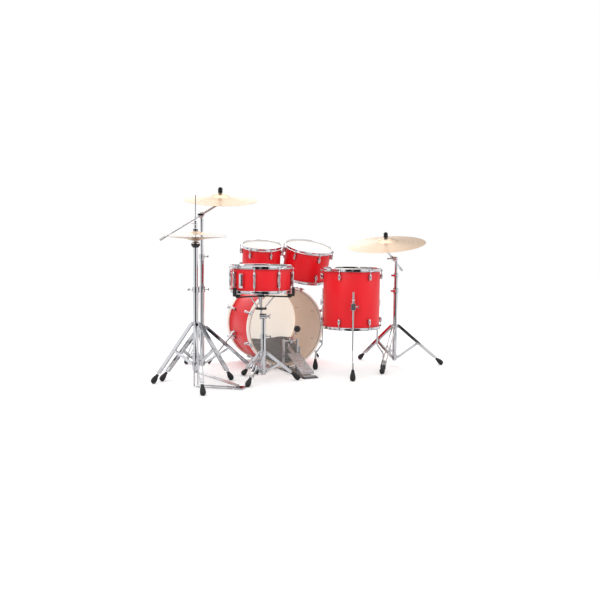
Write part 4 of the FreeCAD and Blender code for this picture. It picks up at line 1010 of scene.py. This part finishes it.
@dataclass
class BoomStand:
    """A double-braced cymbal stand with its boom, its tilter's felts and its cymbal."""

    shop: Workshop
    prefix: str
    radius: float
    height: float
    sleeve: float = 14.0
    tail_grip: float = 42.5

    def stack(self, cymbal: Cymbal) -> None:
        """Make the felts on both sides of the cymbal, the sleeve below and the wing cap above."""
        sculpt, top = Sculpt(), cymbal.height
        low, high = top - 2.7, top + 1.3
        felt = 11
        base = top + 0.8 + felt
        lower = [(0, low - felt), (12.6, low - felt), (14.2, low - felt + 1.5),
                 (13.2, low - 5), (9.6, low - 1), (8.4, low), (0, low)]
        upper = [(0, high), (9.2, high), (12.4, high + 2), (14.9, high + 6.4),
                 (15.1, high + 9.1), (14.2, base), (0, base)]
        sculpt.lathe(lower, cymbal.place, 40, 1)
        sculpt.lathe(upper, cymbal.place, 40, 1)
        cap = [(0, base), (12.2, base), (13.4, base + 1.2), (13.5, base + 5),
               (13.1, base + 7), (13.2, base + 19), (12.2, base + 20.3),
               (8.2, base + 20.6), (7.6, base + 25), (0, base + 25.6)]
        sculpt.lathe(cap, cymbal.place, 32, 2)
        for turn in range(12):
            rib = cymbal.place @ Matrix.Rotation(math.tau * turn / 12, 4, "Z")
            sculpt.box((1.2, 2.4, 11), rib @ shift(13.3, 0, base + 13), 2, 0.4)
        out = cymbal.place.to_3x3() @ UP
        washer = cymbal.place @ mm(0, 0, low - felt - 1.6)
        sculpt.rod(washer, washer + out * 1.6 * MM, 14.6, sides=40)
        piece = sculpt.piece(self.prefix + "_felts_and_cap", [Kind.CHROME, Kind.FELT, Kind.NYLON])
        self.shop.fit(piece, self.prefix + "_tilter")

    def build(self) -> None:
        """Make every part of the stand, and its cymbal."""
        cymbal = Cymbal(self.shop, self.prefix + "_cymbal", self.radius, self.height)
        parts = ("base", "middle_tube", "top_tube", "clamp")
        self.shop.plate(*(f"{self.prefix}_{part}" for part in parts))
        back = cymbal.place.inverted()
        node = self.prefix + "_tilter"
        self.shop.recast(node, node + "_steel", [Kind.CHROME, Kind.NYLON],
                         rule=lambda middle: int((back @ middle).z > (self.height - self.sleeve) * MM))
        boom = self.prefix + "_boom"
        axis = self.shop.joint(boom + "_slide")[1]
        points = np.concatenate(self.shop.solids(boom))
        grip = float((points @ np.array(axis)).min()) + self.tail_grip * MM
        self.shop.recast(boom, boom + "_steel", [Kind.CHROME, Kind.SATIN_METAL],
                         rule=lambda middle: int(middle.dot(axis) < grip))
        cymbal.build()
        self.stack(cymbal)


@dataclass
class HiHat:
    """The hi-hat stand with its pedal, seat, pull rod, clutch and two cymbals."""

    shop: Workshop
    radius: float = 7 * INCH
    height: float = 23.0
    cup_depth: float = 36.5

    def clutch(self, cymbal: Cymbal) -> None:
        """Make the felts, the nuts and the knurled barrel on the pull rod."""
        sculpt, top = Sculpt(), self.height
        felt = [(0, top + 0.3), (11.6, top + 0.3), (14.2, top + 2),
                (14.4, top + 8.8), (12.8, top + 11), (0, top + 11)]
        sculpt.lathe(felt, cymbal.place, 36, 1)
        under = [(0, top - 9), (9.6, top - 9), (11.2, top - 7),
                 (11.2, top - 3), (9.6, top - 1.7), (0, top - 1.7)]
        sculpt.lathe(under, cymbal.place, 36, 1)
        soft = 0.8
        for low, high, wide in ((11, 14, 12.6), (14.2, 19, 9.4), (20, 58.4, 9.3), (34, 37, 10.4)):
            ring = [(0, low), (wide - soft, low), (wide, low + soft), (wide, high - soft),
                    (wide - soft, high), (0, high)]
            sculpt.lathe(ring, cymbal.place @ shift(0, 0, top), 32)
        piece = sculpt.piece("hihat_clutch_and_felts", [Kind.CHROME, Kind.FELT])
        self.shop.fit(piece, "hihat_pull_rod")

    def seat(self) -> None:
        """Make the black cup and the felt on which the lower cymbal lies."""
        points = np.concatenate(self.shop.solids("hihat_upper_tube"))
        top = float(points[:, 2].max())
        wide = points[points[:, 2] > top - 40 * MM]
        across = (wide.min(0) + wide.max(0)) / 2
        middle = Vector((across[0], across[1], top - self.cup_depth * MM))
        cup = [(13.0, -0.2), (14.3, 0), (20, 6), (25.2, 13.6),
               (25.4, 20), (24.2, 25.8), (22.6, 26.4), (20, 28),
               (10.2, 36.2), (6.2, 36.4), (6.2, 30)]
        sculpt = Sculpt()
        sculpt.lathe(cup, Matrix.Translation(middle), 48)
        self.shop.fit(sculpt.piece("hihat_cup_seat", [Kind.NYLON]), "hihat_upper_tube")

    def build(self) -> None:
        """Make every part of the hi-hat."""
        self.shop.plate("hihat_base")
        self.shop.recast("hihat_footboard", "hihat_footboard_cast", [Kind.SATIN_METAL], 0.8)
        self.shop.plate("hihat_upper_tube", "hihat_pull_rod")
        top = Cymbal(self.shop, "hihat_top_cymbal", self.radius, self.height)
        top.build()
        Cymbal(self.shop, "hihat_bottom_cymbal", self.radius, self.height, -UP).build()
        self.clutch(top)
        self.seat()


@dataclass
class SnareHardware:
    """The snare drum's stand and basket, strainer and throw-off."""

    shop: Workshop
    grip_start: float = 176.0
    arm_drop: float = 66.0
    nut_height: float = 434.0
    nut_half: float = 5.6
    nut_radius: float = 36.0

    def build(self) -> None:
        """Make the stand, and the fittings that ride with the drum."""
        self.shop.plate("snare_base", "snare_upper_tube")
        middle = self.shop.axis(self.shop.solids("snare_shell")[0], UP)[0]

        points = np.concatenate(self.shop.solids("snare_basket"))
        arms = float(points[:, 2].max()) - self.arm_drop * MM

        def grip(point: Vector) -> int:
            """Tell rubber and black arms from chrome by the place in the basket."""
            flat = math.hypot(point.x - middle.x, point.y - middle.y)
            if flat > self.grip_start * MM:
                return 1
            high = abs(point.z - self.nut_height * MM)
            nut = high < self.nut_half * MM and flat < self.nut_radius * MM
            return 2 if point.z > arms or nut else 0

        self.shop.recast("snare_basket", "snare_basket_steel", [Kind.CHROME, Kind.RUBBER, Kind.NYLON],
                         0.8, rule=grip)
        self.clamp_screw()
        self.shop.recast("snare_strainer", "snare_strainer_cast", [Kind.CHROME], 0.8)
        self.shop.recast("snare_lever", "snare_throw_lever", [Kind.CHROME], 0.8)


    def clamp_screw(self) -> None:
        """Add the wing screw that locks the basket's tilt, along the tilt's axis."""
        pivot, side = self.shop.joint("snare_basket_tilt")
        sculpt = Sculpt()
        place = frame_of(side, pivot)
        screw = [(0, 8), (14.5, 8), (15.5, 9.2), (15.5, 18),
                 (14, 20), (7.5, 21), (6.6, 31), (4, 33), (0, 33)]
        sculpt.lathe(screw, place, 36)
        for way in (-1, 1):
            wing = place @ shift(0, 0, 31) @ Matrix.Rotation(way * 1.05, 4, "Y")
            sculpt.ball((3.6, 6.4, 11), wing @ shift(0, 0, 10))
        self.shop.fit(sculpt.piece("snare_tilt_wing_screw", [Kind.CHROME]), "snare_upper_tube")


@dataclass
class KickPedal:
    """The kick pedal: a plate frame, a ridged footboard, a chain, a spring and a felt beater."""

    shop: Workshop
    beater: float = 22.5
    beater_middle: float = 21.5
    plate: float = 12.0
    tilt: float = 21.6
    length: float = 236.0
    width: float = 84.0

    def build(self) -> None:
        """Make every part of the pedal."""
        axle = self.shop.joint("kick_beater_hinge")[0]
        hinge = self.shop.joint("kick_board_hinge")[0]
        points = np.concatenate(self.shop.solids("kick_beater"))
        reach = points - np.array(axle)
        far = Vector(points[np.linalg.norm(reach[:, 1:], axis=1).argmax()])
        lean = far - axle
        lean.x = 0.0
        middle = axle + lean.normalized() * (lean.length - self.beater_middle * MM)
        self.shop.recast("kick_beater", "kick_beater_assembly", [Kind.CHROME, Kind.FELT], 0.5,
                         rule=lambda point: int((point - middle).length < self.beater * MM))
        self.shop.recast("kick_frame", "kick_frame_cast", [Kind.DARK_METAL, Kind.SATIN_METAL], 0.8,
                         rule=lambda middle: int(middle.z > self.plate * MM))
        self.shop.recast("kick_footboard", "kick_footboard_cast", [Kind.SATIN_METAL], 0.8)
        sculpt = Sculpt()
        board = Matrix.Translation(hinge) @ Matrix.Rotation(math.radians(self.tilt), 4, "X")
        for index in range(11):
            along = 30 + index * 19
            place = board @ shift(0, along, 6.4)
            sculpt.box((self.width - 18, 5, 1.8), place, 1, 0.6)
        for side in (-1, 1):
            rail = board @ shift(side * (self.width / 2 - 3.4), self.length / 2 + 4, 6.6)
            sculpt.box((4.4, self.length - 12, 2.4), rail, 0, 0.8)
        ridges = sculpt.piece("kick_board_ridges", [Kind.SATIN_METAL, Kind.CHROME])
        self.shop.fit(ridges, "kick_footboard")
        spring = Sculpt()
        start = Vector((axle.x + 64 * MM, axle.y, 44 * MM))
        spring.coil(8.2, 1.2, 22, 102, Matrix.Translation(start))
        self.shop.fit(spring.piece("kick_return_spring", [Kind.WIRE]), "kick_frame")


@dataclass
class FloorTom(Drum):
    """The floor tom, whose legs slide in cast brackets and keep a memory ring."""

    bracket_limit: float = 50.0
    foot_top: float = 71.0
    ring_height: float = 484.0
    leg_top: float = 520.0

    def lug_node(self) -> str:
        """Return the CAD node that holds the lugs and the leg brackets."""
        return "floor_tom_fittings"

    def lug_solids(self) -> list[np.ndarray]:
        """Return the CAD solids that are lugs, by their tall and slim boxes."""
        return [points for points in self.shop.solids(self.lug_node())
                if np.ptp(points[:, 2]) > self.bracket_limit * MM]

    def brackets(self) -> None:
        """Keep the cast leg brackets, with rounded edges."""
        solids = self.shop.solids(self.lug_node())
        chosen = [index for index, points in enumerate(solids)
                  if np.ptp(points[:, 2]) <= self.bracket_limit * MM]
        self.shop.recast(self.lug_node(), "floor_tom_leg_brackets", [Kind.CHROME], 1.2, chosen)

    def legs(self) -> None:
        """Make the bent legs with their rubber feet and memory rings."""
        for number in (1, 2, 3):
            node = f"floor_tom_leg_{number}"
            self.shop.recast(node, node + "_rod", [Kind.CHROME, Kind.RUBBER], 0.0,
                             rule=lambda middle: int(middle.z < self.foot_top * MM))
            points = np.concatenate(self.shop.solids(node))
            high = points[points[:, 2] > self.leg_top * MM].mean(0)
            sculpt = Sculpt()
            ring = Matrix.Translation((high[0], high[1], self.ring_height * MM))
            sculpt.ring(8.4, 3.2, ring, 28)
            self.shop.fit(sculpt.piece(node + "_memory_ring", [Kind.CHROME]), node)

    def build(self) -> None:
        """Make every part of the floor tom."""
        super().build()
        self.legs()


# Stage --------------------------------------------------------------------------------------

@dataclass(frozen=True)
class Studio:
    """The pale floor, the soft lights and the camera."""

    azimuth: float = -24.5
    distance: float = 4.80
    eye_height: float = 0.865
    pitch: float = 4.88
    roll: float = 0.5
    lens: float = 45.0
    wall_tones: Sequence[tuple[float, str]] = (
        (0.0, "#FFFFFF"), (0.09, "#FFFFFF"), (0.11, "#2A2B2D"), (0.16, "#1A1B1C"), (0.18, "#8C8D8F"),
        (0.20, "#1F2021"), (0.26, "#2A2B2D"), (0.285, "#FFFFFF"), (0.40, "#FFFFFF"), (0.42, "#3A3B3D"),
        (0.44, "#F4F4F4"), (0.61, "#FFFFFF"), (0.64, "#4A4B4D"), (0.67, "#FFFFFF"), (0.90, "#FFFFFF"),
        (0.925, "#3A3B3D"), (0.95, "#FFFFFF"), (1.0, "#FFFFFF"))
    ceiling_tones: Sequence[tuple[float, str]] = ((0.0, "#000000"), (0.5, "#000000"), (0.72, "#FFFFFF"))
    height_tones: Sequence[tuple[float, str]] = (
        (0.0, "#F0F0F1"), (0.05, "#9A9B9D"), (0.11, "#3C3D3F"), (0.17, "#E6E6E7"), (0.5, "#FFFFFF"),
        (0.9, "#F2F2F2"))

    def camera(self) -> None:
        """Put the camera to the drummer's left rear, level with the toms, a little rolled."""
        turn = math.radians(self.azimuth)
        ahead = Vector((-math.sin(turn), math.cos(turn), 0))
        right = Vector((math.cos(turn), math.sin(turn), 0))
        drop = math.radians(self.pitch)
        aim = ahead * math.cos(drop) - UP * math.sin(drop)
        lift = right.cross(aim)
        tilt = math.radians(self.roll)
        wide = right * math.cos(tilt) + lift * math.sin(tilt)
        tall = lift * math.cos(tilt) - right * math.sin(tilt)
        turned = Matrix((wide, tall, -aim)).transposed().to_4x4()
        data = bpy.data.cameras.new("camera")
        data.lens, data.sensor_width = self.lens, 36.0
        eye = bpy.data.objects.new("camera", data)
        eye.matrix_world = Matrix.Translation(-ahead * self.distance + UP * self.eye_height) @ turned
        bpy.context.scene.collection.objects.link(eye)
        bpy.context.scene.camera = eye

    def softbox(self, name: str, place: Vector, target: Vector, size: tuple[float, float],
                power: float) -> None:
        """Hang one rectangular soft light that looks at a target."""
        data = bpy.data.lights.new(name, "AREA")
        data.shape, data.size, data.size_y, data.energy = "RECTANGLE", size[0], size[1], power
        lamp = bpy.data.objects.new(name, data)
        lamp.matrix_world = frame_of(place - target, place, Vector((1, 0, 0)))
        bpy.context.scene.collection.objects.link(lamp)

    def lights(self) -> None:
        middle = Vector((0, 0, 0.5))
        self.softbox("key_left", Vector((-3.2, -2.6, 2.6)), middle, (2.2, 2.2), 34.0)
        self.softbox("fill_right", Vector((3.4, -2.0, 1.8)), middle, (1.6, 2.4), 18.0)
        self.softbox("top", Vector((0, 0.6, 3.4)), middle, (3.4, 2.6), 40.0)
        self.softbox("back", Vector((0.8, 3.8, 2.2)), middle, (3.0, 1.6), 26.0)

    def sky(self) -> None:
        """Make the white sweep around: pure white to the eye, graded grey in reflections."""
        world = bpy.data.worlds.new("sweep")
        world.use_nodes = True
        bpy.context.scene.world = world
        tree = world.node_tree
        tree.nodes.clear()
        place = add_node(tree, "ShaderNodeTexCoord")
        parts = add_node(tree, "ShaderNodeSeparateXYZ", {0: place.outputs["Generated"]})
        around = add_node(tree, "ShaderNodeTexGradient", {0: place.outputs["Generated"]},
                          gradient_type="RADIAL")
        walls = self.ramp(tree, around.outputs["Fac"], self.wall_tones)
        height = self.ramp(tree, parts.outputs["Z"], self.height_tones)
        upper = self.ramp(tree, parts.outputs["Z"], self.ceiling_tones)
        room = add_node(tree, "ShaderNodeMix", {0: upper, 6: walls, 7: (1.0, 1.0, 1.0, 1.0)},
                        data_type="RGBA")
        seen = add_node(tree, "ShaderNodeMix", {0: 1.0, 6: room.outputs[2], 7: height},
                        data_type="RGBA", blend_type="MULTIPLY")
        mirrored = add_node(tree, "ShaderNodeBackground", {0: seen.outputs[2], "Strength": 1.15})
        lit = add_node(tree, "ShaderNodeBackground", {0: linear("#FFFFFF"), "Strength": 0.95})
        plain = add_node(tree, "ShaderNodeBackground", {0: (1, 1, 1, 1), "Strength": 1.0})
        ray = add_node(tree, "ShaderNodeLightPath")
        indirect = add_node(tree, "ShaderNodeMixShader", {
            0: ray.outputs["Is Glossy Ray"], 1: lit.outputs[0], 2: mirrored.outputs[0]})
        mix = add_node(tree, "ShaderNodeMixShader", {
            0: ray.outputs["Is Camera Ray"], 1: indirect.outputs[0], 2: plain.outputs[0]})
        add_node(tree, "ShaderNodeOutputWorld", {0: mix.outputs[0]})

    def ramp(self, tree: bpy.types.NodeTree, value: bpy.types.NodeSocket,
             tones: Sequence[tuple[float, str]]) -> bpy.types.NodeSocket:
        """Return the colour of a value on a ramp of positions and tones."""
        node = add_node(tree, "ShaderNodeValToRGB", {0: value})
        stops = node.color_ramp.elements
        (stops[0].position, first), (stops[1].position, last) = tones[0], tones[-1]
        stops[0].color, stops[1].color = linear(first), linear(last)
        for position, tone in tones[1:-1]:
            stops.new(position).color = linear(tone)
        return node.outputs[0]

    def floor(self) -> None:
        """Lay the pale floor."""
        sculpt = Sculpt()
        bmesh.ops.create_grid(sculpt.bm, x_segments=1, y_segments=1, size=9.0)
        finish = Sweep("white_sweep", "#FFFFFF", roughness=1.0, specular=0.0, glow=0.07)
        mesh = bpy.data.meshes.new("floor")
        sculpt.bm.to_mesh(mesh)
        sculpt.bm.free()
        mesh.materials.append(finish.material())
        ground = bpy.data.objects.new("floor", mesh)
        bpy.context.scene.collection.objects.link(ground)

    def build(self) -> None:
        """Make the camera, the lights, the sky and the floor."""
        self.camera()
        self.lights()
        self.sky()
        self.floor()
        bpy.context.scene.view_settings.view_transform = "Standard"


def dress_rest(shop: Workshop) -> None:
    """Give chrome to every CAD node that no piece stands for."""
    for node, item in shop.frame["nodes"].items():
        if node not in shop.done:
            LOG.info("%s keeps its own mesh", node)
            item.data.materials.clear()
            item.data.materials.append(Kind.CHROME.value.material())


def main() -> None:
    logging.basicConfig(level=logging.INFO, format="%(message)s")
    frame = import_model()
    shop = Workshop(frame)
    Studio().build()
    Drum(shop, "tom10", 5 * INCH, 7 * INCH).build()
    Drum(shop, "tom12", 6 * INCH, 8 * INCH).build()
    FloorTom(shop, "floor_tom", 7 * INCH, 14 * INCH).build()
    Drum(shop, "snare", 7 * INCH, 5.5 * INCH, double_lugs=True).build()
    BassDrum(shop, "bass", 10 * INCH, 406.0, steps=160).build()
    shop.plate("tom10_arm", "tom12_arm", bevel=0.8)
    BoomStand(shop, "crash", 9 * INCH, 38.0).build()
    BoomStand(shop, "ride", 10 * INCH, 42.0).build()
    HiHat(shop).build()
    SnareHardware(shop).build()
    KickPedal(shop).build()
    Stands(shop).build()
    dress_rest(shop)


if __name__ == "__main__":
    main()
